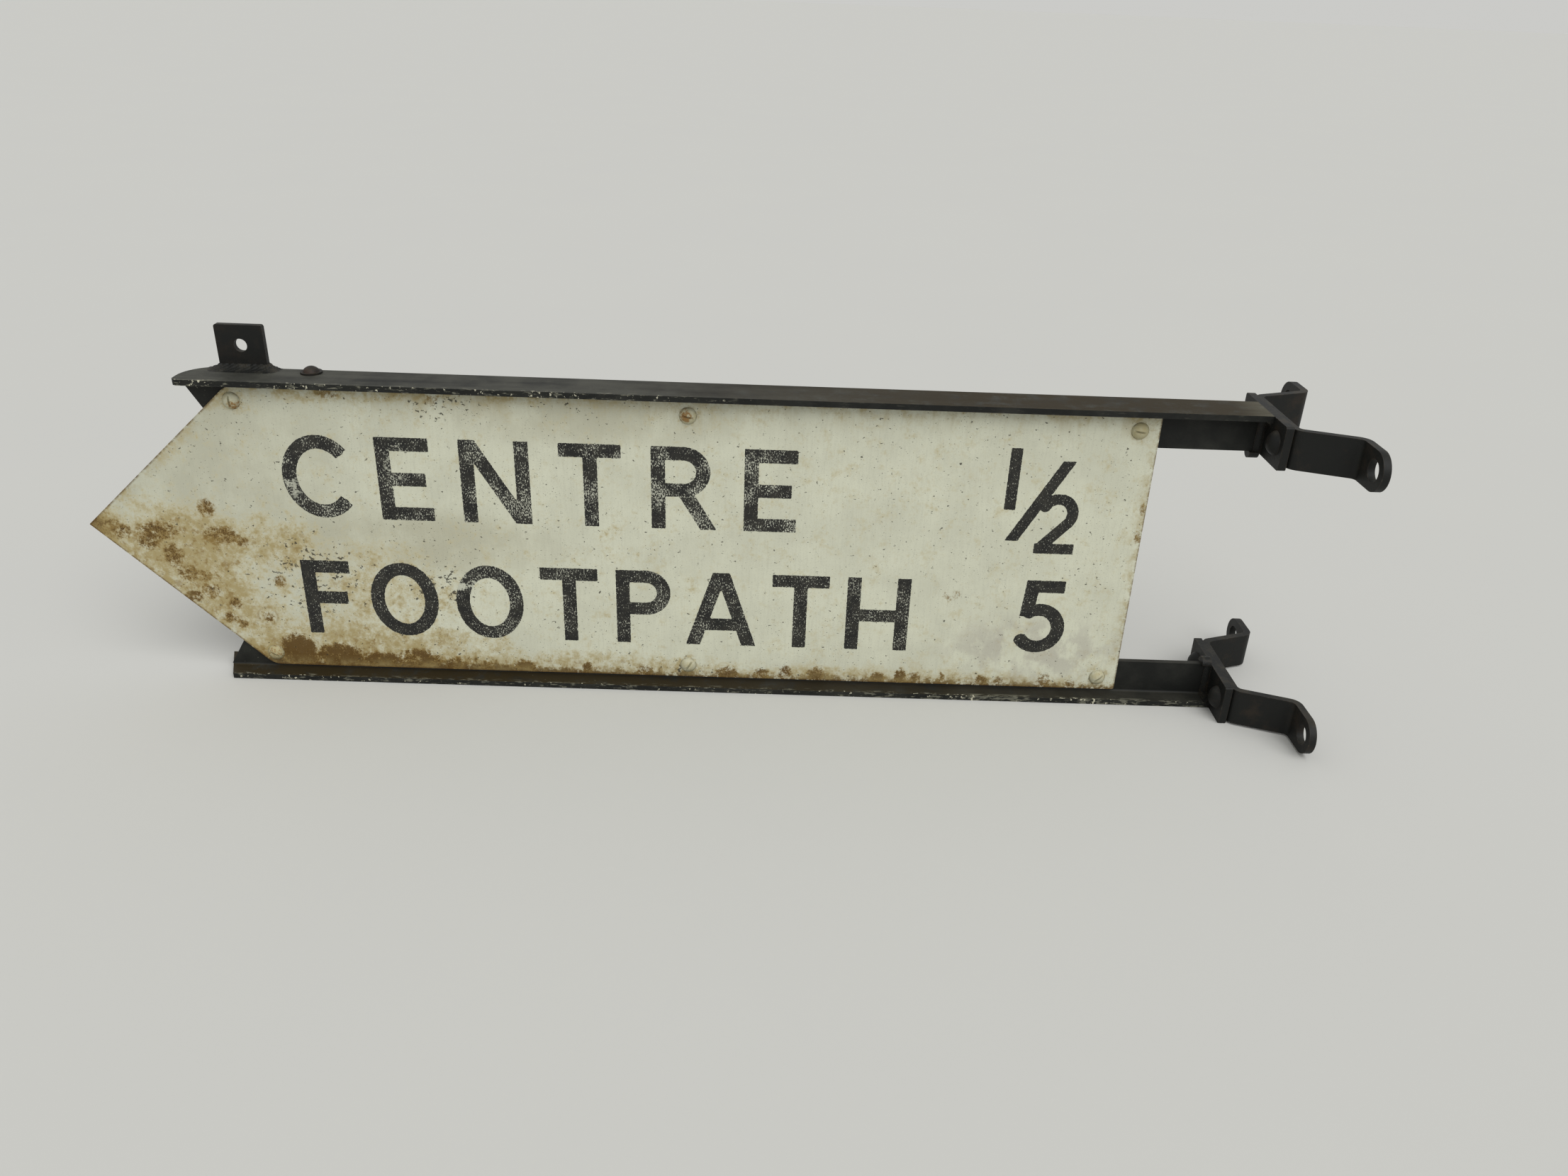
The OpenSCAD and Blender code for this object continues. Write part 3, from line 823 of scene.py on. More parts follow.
@dataclass(frozen=True)
class ForgedPaint:
    """Black paint on forged bar, browned by rust at edges and in pits.

    Args:
        name: the material's name.
        black: the paint.
        brown: the rust.
        bright: scuffs on the sharpest edges, and dust with painted top light on what looks up.
        rusting: share of the surface that turns to rust.
        relief: depth of the pits and lumps.
        cells: how many of its clouds and lumps fit into a metre.
        specular: the shader's specular level.
    """

    name: str
    black: Colour = srgb(20, 21, 19)
    brown: Colour = srgb(56, 45, 34)
    bright: Colour = srgb(82, 80, 68)
    rusting: float = 0.42
    relief: float = 0.00030
    cells: float = 48.0
    specular: float = 0.22

    def build(self) -> bpy.types.Material:
        """Layers: black, dust with painted top light on what looks up, brown clouds, brown edges and rare
        bright scuffs.

        Returns:
            The finish.
        """
        graph = Graph(self.name)
        cloud = graph.noise(self.cells, 5, 0.66)
        pitted = graph.noise(330, 3, 0.65, shift=2.0)
        edge = graph.edges(0.0015).rise(0.02, 0.26)
        # what looks up is lighter: dust, and partly painted light from above
        colour = graph.mix(graph.facing_up() * cloud.rise(0.40, 0.70) * 0.30, self.black, self.bright)
        colour = graph.mix(cloud.rise(0.48, 0.74) * self.rusting, colour, self.brown)
        browned = edge * pitted.rise(0.36, 0.58) * (0.25 + self.rusting * 0.6)
        colour = graph.mix(browned, colour, self.brown)
        scuffed = edge * graph.noise(210, 2, 0.5, shift=4.0).rise(0.58, 0.70)
        colour = graph.mix(scuffed * 0.5, colour, self.bright)
        height = pitted * 0.5 + cloud * 0.5
        return graph.finish(colour, 0.42 + cloud * 0.24, height, self.relief, self.specular)


@dataclass(frozen=True)
class ScrewPaint:
    """The plate's white over screw heads, yellowed, with blotches of rust, and darker low on each head next
    to the plate.

    Args:
        rusted: the upper middle head's left half, and one side of the upper left head.
        stained: the lower left head.
        yellowed: the upper right head.
        rear: Y behind which the shanks are bare.
        relief: depth of the texture.
        specular: the shader's specular level.
    """

    white: Colour = srgb(174, 172, 148)
    yellow: Colour = srgb(156, 145, 102)
    rust: Colour = srgb(128, 94, 46)
    dark: Colour = srgb(44, 41, 35)
    rusted: tuple[Stain, ...] = (
        Stain((-0.0124, 0.2505), (0.0056, 0.0056), 1.0),
        Stain((-0.3710, 0.2465), (0.0060, 0.0055), 0.8),
    )
    stained: Stain = Stain((SCREW_COLUMNS[0], SCREW_ROWS[0]), (0.020, 0.020), 0.9)
    yellowed: Stain = Stain((SCREW_COLUMNS[1], SCREW_ROWS[1]), (0.020, 0.020), 0.65)
    rear: float = 0.001
    relief: float = 0.00022
    specular: float = 0.25

    def build(self) -> bpy.types.Material:
        """White heads, two of them yellowed and two rusted in part; the ends behind are dark.

        Returns:
            The screws' finish.
        """
        graph = Graph("screw_paint")
        cloud = graph.noise(170, 4, 0.65)
        blotch = graph.noise(420, 3, 0.6, shift=3.0)
        stained = self.stained.mask(graph)
        colour = graph.mix(cloud.rise(0.36, 0.66) * 0.55, self.white, self.yellow)
        colour = graph.mix(stained.highest(self.yellowed.mask(graph)) * 0.70, colour, self.yellow)
        rusted = strongest(graph, self.rusted).highest(stained * 0.5)
        colour = graph.mix((blotch + rusted * 0.34).rise(0.62, 0.84) * 0.90, colour, self.rust)
        # darker low on each head, next to the plate
        low = (graph.y - PLATE_FACE).rise(-0.0020, -0.0002)
        colour = graph.mix(low * blotch.rise(0.34, 0.60) * 0.45, colour, self.dark)
        colour = graph.mix(graph.y.rise(self.rear, self.rear + 0.001), colour, self.dark)
        return graph.finish(colour, 0.5 + cloud * 0.15, blotch, self.relief, self.specular)


@dataclass(frozen=True)
class Stroke:
    """One pen stroke: a line through points, with square ends and round joints, in cap heights.

    Args:
        points: the centre line.
        closed: whether it runs back to its first point.
    """

    points: tuple[Point, ...]
    closed: bool = False

    def distance(self, across: np.ndarray, upward: np.ndarray, half: float) -> np.ndarray:
        """Signed distance to the stroke's edge: to the nearest segment's line, less half the weight.

        Beyond a joint it is the distance to the joint, and an end is cut square by taking the larger
        of that and the overrun past the end.

        Args:
            across: X of the places.
            upward: Z of the places.
            half: half the stroke's weight.

        Returns:
            The distances, negative inside.
        """
        corners = np.array(self.points + ((self.points[0],) if self.closed else ()), float)
        start, end = corners[:-1], corners[1:]
        run = end - start
        length = np.hypot(run[:, 0], run[:, 1])
        way = run / length[:, None]
        place = np.stack([across.ravel(), upward.ravel()], 1)[:, None, :] - start[None]
        along = (place * way[None]).sum(2)
        aside = np.abs(place[..., 0] * way[:, 1] - place[..., 1] * way[:, 0])
        over = np.maximum(np.maximum(-along, along - length), 0)
        away = np.hypot(over, aside) - half
        if not self.closed:
            away[:, 0] = np.maximum(away[:, 0], -along[:, 0])
            away[:, -1] = np.maximum(away[:, -1], along[:, -1] - length[-1])
        return away.min(1).reshape(across.shape)


def arc(middle: Point, radii: Point, start: float, end: float) -> tuple[Point, ...]:
    """Points on an ellipse: its middle plus the radii times the cosine and sine of each angle.

    Args:
        middle: the ellipse's middle.
        radii: half its width and half its height.
        start: first angle in degrees, from the right and upwards.
        end: last angle.

    Returns:
        The points, at even steps of angle.
    """
    angles = np.radians(np.linspace(start, end, ARC_POINTS))
    return tuple((middle[0] + radii[0] * math.cos(a), middle[1] + radii[1] * math.sin(a)) for a in angles)


@dataclass(frozen=True)
class Glyph:
    """A letter or numeral as pen strokes, in cap heights.

    Args:
        width: its width.
        strokes: its strokes.
    """

    width: float
    strokes: tuple[Stroke, ...]


class Alphabet:
    """Plain block capitals and numerals of an even weight, drawn with a broad pen."""

    LOW, MIDDLE, HIGH, PEN = 0.08, 0.50, 0.92, 0.08

    def stem(self, across: float) -> Stroke:
        """Upright stroke over the whole height."""
        return Stroke(((across, 0.0), (across, 1.0)))

    def bar(self, start: float, end: float, level: float) -> Stroke:
        """Level stroke."""
        return Stroke(((start, level), (end, level)))

    def bowl(self, straight: float, level: float, radius: float) -> Stroke:
        """Round of a P or R: a half circle between two level stretches that start at the stem."""
        turn = arc((straight, level), (radius, radius), 90, -90)
        return Stroke(((self.PEN, level + radius), *turn, (self.PEN, level - radius)))

    def glyph(self, name: str) -> Glyph:
        """The glyph of a letter or numeral, put together from stems, bars, bowls and arcs.

        Args:
            name: the letter or numeral.

        Returns:
            Its strokes and width.
        """
        left, low, middle, high = self.PEN, self.LOW, self.MIDDLE, self.HIGH
        table: dict[str, tuple[float, tuple[Stroke, ...]]] = {
            "A": (0.80, (Stroke(((0.02, -0.1), (0.40, 1.05))), Stroke(((0.78, -0.1), (0.40, 1.05))),
                         self.bar(0.16, 0.64, 0.29))),
            "C": (0.74, (Stroke(arc((0.43, 0.5), (0.35, 0.42), 42, 318)),)),
            "E": (0.60, (self.stem(left), self.bar(0.0, 0.60, low), self.bar(0.0, 0.54, middle),
                         self.bar(0.0, 0.60, high))),
            "F": (0.58, (self.stem(left), self.bar(0.0, 0.52, middle), self.bar(0.0, 0.58, high))),
            "H": (0.77, (self.stem(left), self.stem(0.69), self.bar(0.0, 0.70, 0.48))),
            "N": (0.78, (self.stem(left), self.stem(0.70), Stroke(((0.04, 1.08), (0.74, -0.08))))),
            "O": (0.82, (Stroke(arc((0.41, 0.5), (0.33, 0.42), 0, 347), True),)),
            "P": (0.66, (self.stem(left), self.bowl(0.36, 0.70, 0.22))),
            "R": (0.72, (self.stem(left), self.bowl(0.37, 0.70, 0.22),
                         Stroke(((0.34, 0.52), (0.70, -0.08))))),
            "T": (0.70, (self.stem(0.35), self.bar(0.0, 0.70, high))),
            "2": (0.64, (Stroke((*arc((0.32, 0.68), (0.23, 0.24), 160, -38), (0.10, 0.09))),
                         self.bar(0.02, 0.64, 0.085))),
            "5": (0.64, (self.bar(0.13, 0.58, high), Stroke(((0.19, 1.0), (0.15, 0.50))),
                         Stroke(arc((0.31, 0.34), (0.25, 0.26), 132, -150)))),
        }
        return Glyph(*table[name])


@dataclass
class Lettering:
    """The two lines of capitals and the two distances, as thin films of paint on the plate.

    Args:
        upper: word of the upper line, and its left end, right end and foot.
        lower: the same for the lower line.
        upper_cap: height of the upper line's capitals.
        lower_cap: height of the lower line's capitals and numeral.
        weight: weight of their strokes.
        thin_weight: weight of the fraction's strokes.
        cell: side of the films' grid cells.
        film: how far a film stands out of the plate's face.
        sunk: how far it reaches into the plate.
        rag: unsteadiness of the edges.
        rim_moves: how many times a rim point moves towards the outline.
        least_slope: least slope of the distance that a move reckons with.
        one: the fraction's upper figure, as a line.
        slash: the fraction's slanted line.
        slash_span: Z at which that line is cut off, below and above.
        half_place: left side and foot of the fraction's lower figure.
        half_cap: that figure's height.
        miles_place: left side and foot of the lower line's numeral.
        numerals_span: X of the numerals' grid.
        numerals_top: its highest Z.
        alphabet: the glyphs.
    """

    upper: tuple[str, float, float, float] = ("CENTRE", -0.343, 0.079, 0.151)
    lower: tuple[str, float, float, float] = ("FOOTPATH", -0.340, 0.180, 0.041)
    upper_cap: float = 0.0725
    lower_cap: float = 0.0700
    weight: float = 0.0116
    thin_weight: float = 0.0094
    cell: float = 0.0011
    film: float = 0.00012
    sunk: float = 0.00002
    rag: float = 0.00016
    rim_moves: int = 3
    least_slope: float = 0.5
    one: tuple[Point, Point] = ((0.2556, 0.178), (0.2561, 0.232))
    slash: tuple[Point, Point] = ((0.2545, 0.140), (0.3060, 0.232))
    slash_span: Point = (0.150, 0.222)
    half_place: Point = (0.279, 0.139)
    half_cap: float = 0.054
    miles_place: Point = (0.2715, 0.0435)
    numerals_span: Point = (0.245, 0.322)
    numerals_top: float = 0.234
    alphabet: Alphabet = field(default_factory=Alphabet)

    def raggedness(self, across: np.ndarray, upward: np.ndarray) -> np.ndarray:
        """Unsteady edge of brushed paint: a sum of crossing sine waves of a few millimetres.

        Args:
            across: X of the places.
            upward: Z of the places.

        Returns:
            What the distances are off by, in metres.
        """
        waves = ((1450.0, 930.0, 0.0), (-2100.0, 1730.0, 1.3), (640.0, -2650.0, 2.1), (3300.0, 2900.0, 0.7))
        total = sum(np.sin(a * across + b * upward + c) for a, b, c in waves)
        return total * self.rag / 2

    def shape(self, glyph: Glyph, left: float, foot: float, cap: float, weight: float,
              across: np.ndarray, upward: np.ndarray) -> np.ndarray:
        """Signed distance to a glyph: the least over its strokes, cut off level at its foot and top.

        Args:
            glyph: the letter or numeral.
            left: X of its left side.
            foot: Z of its foot.
            cap: its height.
            weight: its strokes' weight.
            across: X of the places.
            upward: Z of the places.

        Returns:
            The distances in metres, negative inside.
        """
        unit_x, unit_z = (across - left) / cap, (upward - foot) / cap
        half = weight / cap / 2
        away = np.min([stroke.distance(unit_x, unit_z, half) for stroke in glyph.strokes], axis=0)
        return np.maximum(away, np.maximum(-unit_z, unit_z - 1)) * cap

    def to_outline(self, x: np.ndarray, z: np.ndarray,
                   away: Callable[[np.ndarray, np.ndarray], np.ndarray]) -> tuple[np.ndarray, np.ndarray]:
        """Moves points onto an outline: each against the slope of the distance, by the distance itself.

        Args:
            x: X of the points.
            z: Z of the points.
            away: signed distance as a function of X and Z.

        Returns:
            The new X and Z.
        """
        nudge = self.cell / 4
        for _ in range(self.rim_moves):
            d = away(x, z)
            slope_x = (away(x + nudge, z) - away(x - nudge, z)) / (2 * nudge)
            slope_z = (away(x, z + nudge) - away(x, z - nudge)) / (2 * nudge)
            size = np.maximum(np.hypot(slope_x, slope_z), self.least_slope)
            x, z = x - d * slope_x / size**2, z - d * slope_z / size**2
        return x, z

    def film_mesh(self, name: str, low: Point, high: Point,
                  away: Callable[[np.ndarray, np.ndarray], np.ndarray]) -> bpy.types.Object:
        """A film of paint: the grid cells whose middles lie inside, its rim moved onto the outline.

        Args:
            name: the piece's name.
            low: lowest X and Z.
            high: highest X and Z.
            away: signed distance as a function of X and Z.

        Returns:
            The piece, as thick as a coat of paint.
        """
        xs = np.arange(low[0] - 3 * self.cell, high[0] + 3 * self.cell, self.cell)
        zs = np.arange(low[1] - 3 * self.cell, high[1] + 3 * self.cell, self.cell)
        grid_x, grid_z = np.meshgrid(xs, zs, indexing="ij")
        inside = away(grid_x[:-1, :-1] + self.cell / 2, grid_z[:-1, :-1] + self.cell / 2) < 0
        quads = grid_faces(*grid_x.shape)[inside.ravel()]
        used, faces = np.unique(quads, return_inverse=True)
        faces = faces.reshape(-1, 4)
        x, z = grid_x.ravel()[used], grid_z.ravel()[used]
        rim = np.bincount(faces.ravel(), minlength=len(used)) < 4
        x[rim], z[rim] = self.to_outline(x[rim], z[rim], away)
        front = np.stack([x, np.full_like(x, PLATE_FACE - self.film), z], 1)
        back = front + (0.0, self.film + self.sunk, 0.0)
        walls = self.rim_walls(faces, len(used))
        return new_piece(name, np.concatenate([front, back]),
                         np.concatenate([faces, faces[:, ::-1] + len(used), walls]))

    def rim_walls(self, faces: np.ndarray, count: int) -> np.ndarray:
        """Walls between front and back: one on each edge that only one face uses.

        Args:
            faces: the front faces.
            count: number of front points, which the back points follow.

        Returns:
            The walls' faces.
        """
        edges = np.concatenate([faces[:, [k, (k + 1) % 4]] for k in range(4)])
        key = np.sort(edges, 1) @ np.array([count, 1])
        _, first, uses = np.unique(key, return_index=True, return_counts=True)
        single = edges[first[uses == 1]]
        return np.stack([single[:, 1], single[:, 0], single[:, 0] + count, single[:, 1] + count], 1)

    def word(self, text: str, left: float, right: float, foot: float, cap: float) -> bpy.types.Object:
        """One line of capitals, spread evenly between its two ends.

        Args:
            text: the word.
            left: X of its left end.
            right: X of its right end.
            foot: Z of its foot.
            cap: height of its capitals.

        Returns:
            The word's film.
        """
        glyphs = [self.alphabet.glyph(letter) for letter in text]
        gap = (right - left - sum(g.width for g in glyphs) * cap) / (len(glyphs) - 1)
        starts = np.cumsum([left] + [g.width * cap + gap for g in glyphs[:-1]])

        def away(across: np.ndarray, upward: np.ndarray) -> np.ndarray:
            """Least distance over the word's letters, with ragged edges."""
            each = [self.shape(glyph, start, foot, cap, self.weight, across, upward)
                    for glyph, start in zip(glyphs, starts)]
            return np.min(each, axis=0) + self.raggedness(across, upward)

        return self.film_mesh(f"letters_{text.lower()}", (left, foot), (right, foot + cap), away)

    def figures(self, across: np.ndarray, upward: np.ndarray) -> np.ndarray:
        """Signed distance to the fraction and to the numeral below it, with ragged edges.

        Args:
            across: X of the places.
            upward: Z of the places.

        Returns:
            The distances in metres, negative inside.
        """
        two, five = self.alphabet.glyph("2"), self.alphabet.glyph("5")
        half = self.thin_weight / 2
        one = Stroke(self.one).distance(across, upward, half)
        slash = Stroke(self.slash).distance(across, upward, half)
        slash = np.maximum(slash, np.maximum(self.slash_span[0] - upward, upward - self.slash_span[1]))
        below = self.shape(two, *self.half_place, self.half_cap, self.thin_weight, across, upward)
        miles = self.shape(five, *self.miles_place, self.lower_cap, self.weight, across, upward)
        return np.min([one, slash, below, miles], axis=0) + self.raggedness(across, upward)

    def build(self, finish: bpy.types.Material) -> None:
        """Makes the three films and dresses them.

        Args:
            finish: the lettering's paint.
        """
        left, right = self.numerals_span
        pieces = [
            self.word(*self.upper, self.upper_cap),
            self.word(*self.lower, self.lower_cap),
            self.film_mesh("distance_numerals", (left, self.miles_place[1]), (right, self.numerals_top),
                           self.figures),
        ]
        for piece in pieces:
            dress(piece, finish)


@dataclass
class PlateScrews:
    """The six slotted round-head screws, each with its slot turned its own way and a cut thread behind.

    Args:
        turns: angle of each slot from upright, in degrees, column by column from below.
        head: the head's radius.
        dome: its height over the plate.
        slot: the slot's width.
        slot_depth: its depth below the top of the dome.
        shank: the thread's outer radius.
        thread_start: Y where the thread starts.
        thread_end: Y of the shank's end.
        pitch: the thread's pitch.
        thread_depth: the thread's depth.
        taper: length of the tapered end, in pitches.
        head_grid: lines of points across and along the slot, before the slot's own.
        thread_grid: points along the thread and round it.
    """

    turns: tuple[float, ...] = (62.0, 4.0, -35.0, 78.0, -50.0, 84.0)
    head: float = 0.00725
    dome: float = 0.0046
    slot: float = 0.0016
    slot_depth: float = 0.0021
    shank: float = 0.004
    thread_start: float = 0.0024
    thread_end: float = 0.0109
    pitch: float = 0.0015
    thread_depth: float = 0.00055
    taper: float = 0.6
    head_grid: tuple[int, int] = (23, 25)
    thread_grid: tuple[int, int] = (70, 33)

    def head_surface(self) -> tuple[np.ndarray, np.ndarray]:
        """Head: a spherical cap over a disc, lowered by the slot depth between two lines.

        The grid runs across the slot by u, with each slot wall as a doubled line, and along it by t,
        so that a point lies at u and t times the half chord at u.

        Returns:
            The points, with the height over the plate last, and the faces.
        """
        side, t = (np.sin(np.linspace(-math.pi / 2, math.pi / 2, count)) for count in self.head_grid)
        side = side * self.head
        half = self.slot / 2
        clear = half * 1.2
        outer_left, outer_right = side[side < -clear], side[side > clear]
        u = np.concatenate([outer_left, [-half, -half, 0.0, half, half], outer_right])
        sunk = np.zeros(len(u), bool)
        first = len(outer_left)
        sunk[first + 1:first + 4] = True
        chord = np.sqrt(np.maximum(self.head**2 - u**2, 0))
        along = chord[:, None] * t[None]
        radius = (self.head**2 + self.dome**2) / (2 * self.dome)
        reach = np.minimum(u[:, None] ** 2 + along**2, self.head**2)
        high = np.sqrt(radius**2 - reach) - radius + self.dome
        high = np.where(sunk[:, None], np.minimum(high, self.dome - self.slot_depth), high)
        points = np.stack([np.broadcast_to(u[:, None], along.shape), along, high], -1)
        return points.reshape(-1, 3), grid_faces(*along.shape)

    def thread_surface(self) -> tuple[np.ndarray, np.ndarray]:
        """Shank end: a radius less a triangle wave in height over pitch less turn, tapered at its end.

        The first and last rings shrink to points, which close the two ends.

        Returns:
            The points, with the distance along the screw last, and the faces.
        """
        levels, turns = self.thread_grid
        turn = np.linspace(0, 2 * math.pi, turns)
        level = np.linspace(self.thread_start, self.thread_end, levels)
        phase = level[:, None] / self.pitch - turn[None] / (2 * math.pi)
        groove = 2 * np.abs(phase - np.floor(phase) - 0.5)
        radius = self.shank - self.thread_depth * groove
        taper = np.clip((self.thread_end - level) / (self.pitch * self.taper), 0, 1)[:, None]
        radius = radius - (1 - taper) * self.thread_depth
        radius[[0, -1]] = 0.0
        level[[0, -1]] = level[[1, -2]]
        points = np.stack([radius * np.cos(turn), radius * np.sin(turn),
                           np.broadcast_to(level[:, None], radius.shape)], -1)
        return points.reshape(-1, 3), grid_faces(levels, turns)

    def build(self, finish: bpy.types.Material) -> None:
        """Places a turned head and a thread at each hole and lets them stand for the plain screws.

        Args:
            finish: the screws' paint.
        """
        head, head_faces = self.head_surface()
        thread, thread_faces = self.thread_surface()
        points, faces, count = [], [], 0
        places = [(x, z) for x in np.linspace(*SCREW_COLUMNS, 3) for z in SCREW_ROWS]
        for (x, z), turn in zip(places, self.turns):
            angle = math.radians(turn)
            across = head[:, 0] * math.cos(angle) - head[:, 1] * math.sin(angle)
            upward = head[:, 0] * math.sin(angle) + head[:, 1] * math.cos(angle)
            points.append(np.stack([x + across, PLATE_FACE - head[:, 2], z + upward], 1))
            faces.append(head_faces + count)
            count += len(head)
            points.append(np.stack([x + thread[:, 0], thread[:, 2], z + thread[:, 1]], 1))
            faces.append(thread_faces + count)
            count += len(thread)
        piece = new_piece("slotted_plate_screws", np.concatenate(points), np.concatenate(faces))
        seal(piece)
        dress(piece, finish)
        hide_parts("plate_screws")


@dataclass
class TabWeld:
    """Smooth flared weld round the foot of the stay tab, with the uneven surface of a hand-laid bead.

    Args:
        left: X of the tab's left side.
        right: X of its right side.
        front: Y of its front face.
        rear: Y of its rear face.
        level: Z of the rail's top.
        spread: how far the bead reaches out from the tab.
        height: its height at the tab.
        sunk: how far the grid dips into the rail beyond the bead.
        lumps: height of its lumps.
        margin: the grid's reach over the bead's.
        flare: power that curves the bead's flank.
        grid: points along X and Y.
    """

    left: float = -0.3868
    right: float = -0.3488
    front: float = 0.014
    rear: float = 0.0189
    level: float = 0.270
    spread: float = 0.0105
    height: float = 0.0046
    sunk: float = 0.0004
    lumps: float = 0.00035
    margin: float = 1.1
    flare: float = 1.7
    grid: tuple[int, int] = (111, 33)

    def build(self, finish: bpy.types.Material) -> None:
        """A grid over the rail whose height falls off with the distance from the tab's foot.

        The height is the bead's height times a power of one less the distance over the spread, plus
        crossing sine waves for lumps; beyond the spread it dips into the rail.

        Args:
            finish: the weld's paint.
        """
        reach = self.spread * self.margin
        xs = np.linspace(self.left - reach, self.right + reach, self.grid[0])
        ys = np.linspace(self.front - reach, self.rear, self.grid[1])
        x, y = np.meshgrid(xs, ys, indexing="ij")
        beside = np.maximum(np.maximum(self.left - x, x - self.right), 0)
        before = np.maximum(self.front - y, 0)
        away = np.hypot(beside, before)
        near = np.clip(1 - away / self.spread, 0, 1)
        ripple = np.sin(x * 2300) * np.cos(y * 1700 + x * 900) + 0.6 * np.sin(x * 1100 + 1.0)
        high = self.height * near**self.flare + self.lumps * ripple * np.minimum(near * 3, 1)
        z = self.level - self.sunk + (high + self.sunk) * (near > 0)
        rows, columns = x.shape
        wall = np.stack([x[:, -1], y[:, -1], np.full(rows, self.level - self.sunk)], -1)[:, None]
        points = np.concatenate([np.stack([x, y, z], -1), wall], 1)
        piece = new_piece("flared_tab_weld", points.reshape(-1, 3), grid_faces(rows, columns + 1))
        piece.data.shade_smooth()
        dress(piece, finish)
        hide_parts("stay_tab_weld")


def grid_faces(rows: int, columns: int) -> np.ndarray:
    """Quads of a grid of points: each cell's four corners, in order."""
    index = np.arange(rows * columns).reshape(rows, columns)
    return np.stack([index[:-1, :-1], index[1:, :-1], index[1:, 1:], index[:-1, 1:]], -1).reshape(-1, 4)


def new_piece(name: str, points: np.ndarray, faces: np.ndarray) -> bpy.types.Object:
    """Puts points and quads into a new mesh object at the origin.

    Args:
        name: the piece's name.
        points: corners, in metres.
        faces: four corner numbers a face.

    Returns:
        The object, linked to the scene.
    """
    mesh = bpy.data.meshes.new(name)
    mesh.from_pydata(points.tolist(), [], faces.tolist())
    mesh.validate()
    mesh.update()
    piece = bpy.data.objects.new(name, mesh)
    bpy.context.scene.collection.objects.link(piece)
    return piece


def seal(piece: bpy.types.Object) -> None:
    """Merges doubled points, drops flat faces and turns every face outwards.

    Args:
        piece: the object whose mesh is sealed.
    """
    work = bmesh.new()
    work.from_mesh(piece.data)
    bmesh.ops.remove_doubles(work, verts=work.verts, dist=1e-6)
    bmesh.ops.dissolve_degenerate(work, edges=work.edges, dist=1e-7)
    bmesh.ops.recalc_face_normals(work, faces=work.faces)
    work.to_mesh(piece.data)
    work.free()


def dress(piece: bpy.types.Object, finish: bpy.types.Material) -> None:
    """Gives a new piece its material and lets it ride on the arm.

    Args:
        piece: the new object.
        finish: its material.
    """
    piece.data.materials.clear()
    piece.data.materials.append(finish)
    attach(piece, "root")
    LOG.info("%s: %d faces", piece.name, len(piece.data.polygons))


@dataclass
class ArmFinishes:
    """Dresses the arm's solids, whose shapes are right as they are.

    Args:
        rails: the rails' solids, each with its chips.
        clamps: the solids in the clamps' paint.
        hidden_fixings: the nuts and the washer behind and below the rails.
    """

    rails: dict[str, Chips] = field(
        default_factory=lambda: {"top_rail": Chips.UPPER, "bottom_rail": Chips.LOWER})
    clamps: tuple[str, ...] = ("top_end_plate", "bottom_end_plate", "top_post_strap", "bottom_post_strap",
                               "strap_rivets")
    hidden_fixings: tuple[str, ...] = ("plate_nuts", "table_bolt_nut", "table_bolt_washer")

    def paint(self, names: tuple[str, ...], finish: bpy.types.Material) -> None:
        """Gives one finish to several solids.

        Args:
            names: the solids' nodes.
            finish: their material.
        """
        for name in names:
            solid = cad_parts[name]
            solid.data.materials.clear()
            solid.data.materials.append(finish)
            LOG.info("%s: %s", name, finish.name)

    def build(self) -> None:
        """Builds each finish once and lays it on its solids."""
        self.paint(("sign_plate",), PlatePaint().build())
        for name, chips in self.rails.items():
            self.paint((name,), RailPaint(chips).build())
        self.paint(("stay_tab",), ForgedPaint("tab_paint", rusting=0.25).build())
        self.paint(self.clamps, ForgedPaint("clamp_paint").build())
        self.paint(("rail_end_welds",), ForgedPaint("weld_paint", relief=0.0009, cells=150.0).build())
        self.paint(self.hidden_fixings, ForgedPaint("fixing_paint", rusting=0.6).build())
        self.paint(("table_bolt",), ForgedPaint("bolt_rust", black=srgb(30, 27, 24), brown=srgb(62, 46, 36),
                                                rusting=0.6).build())


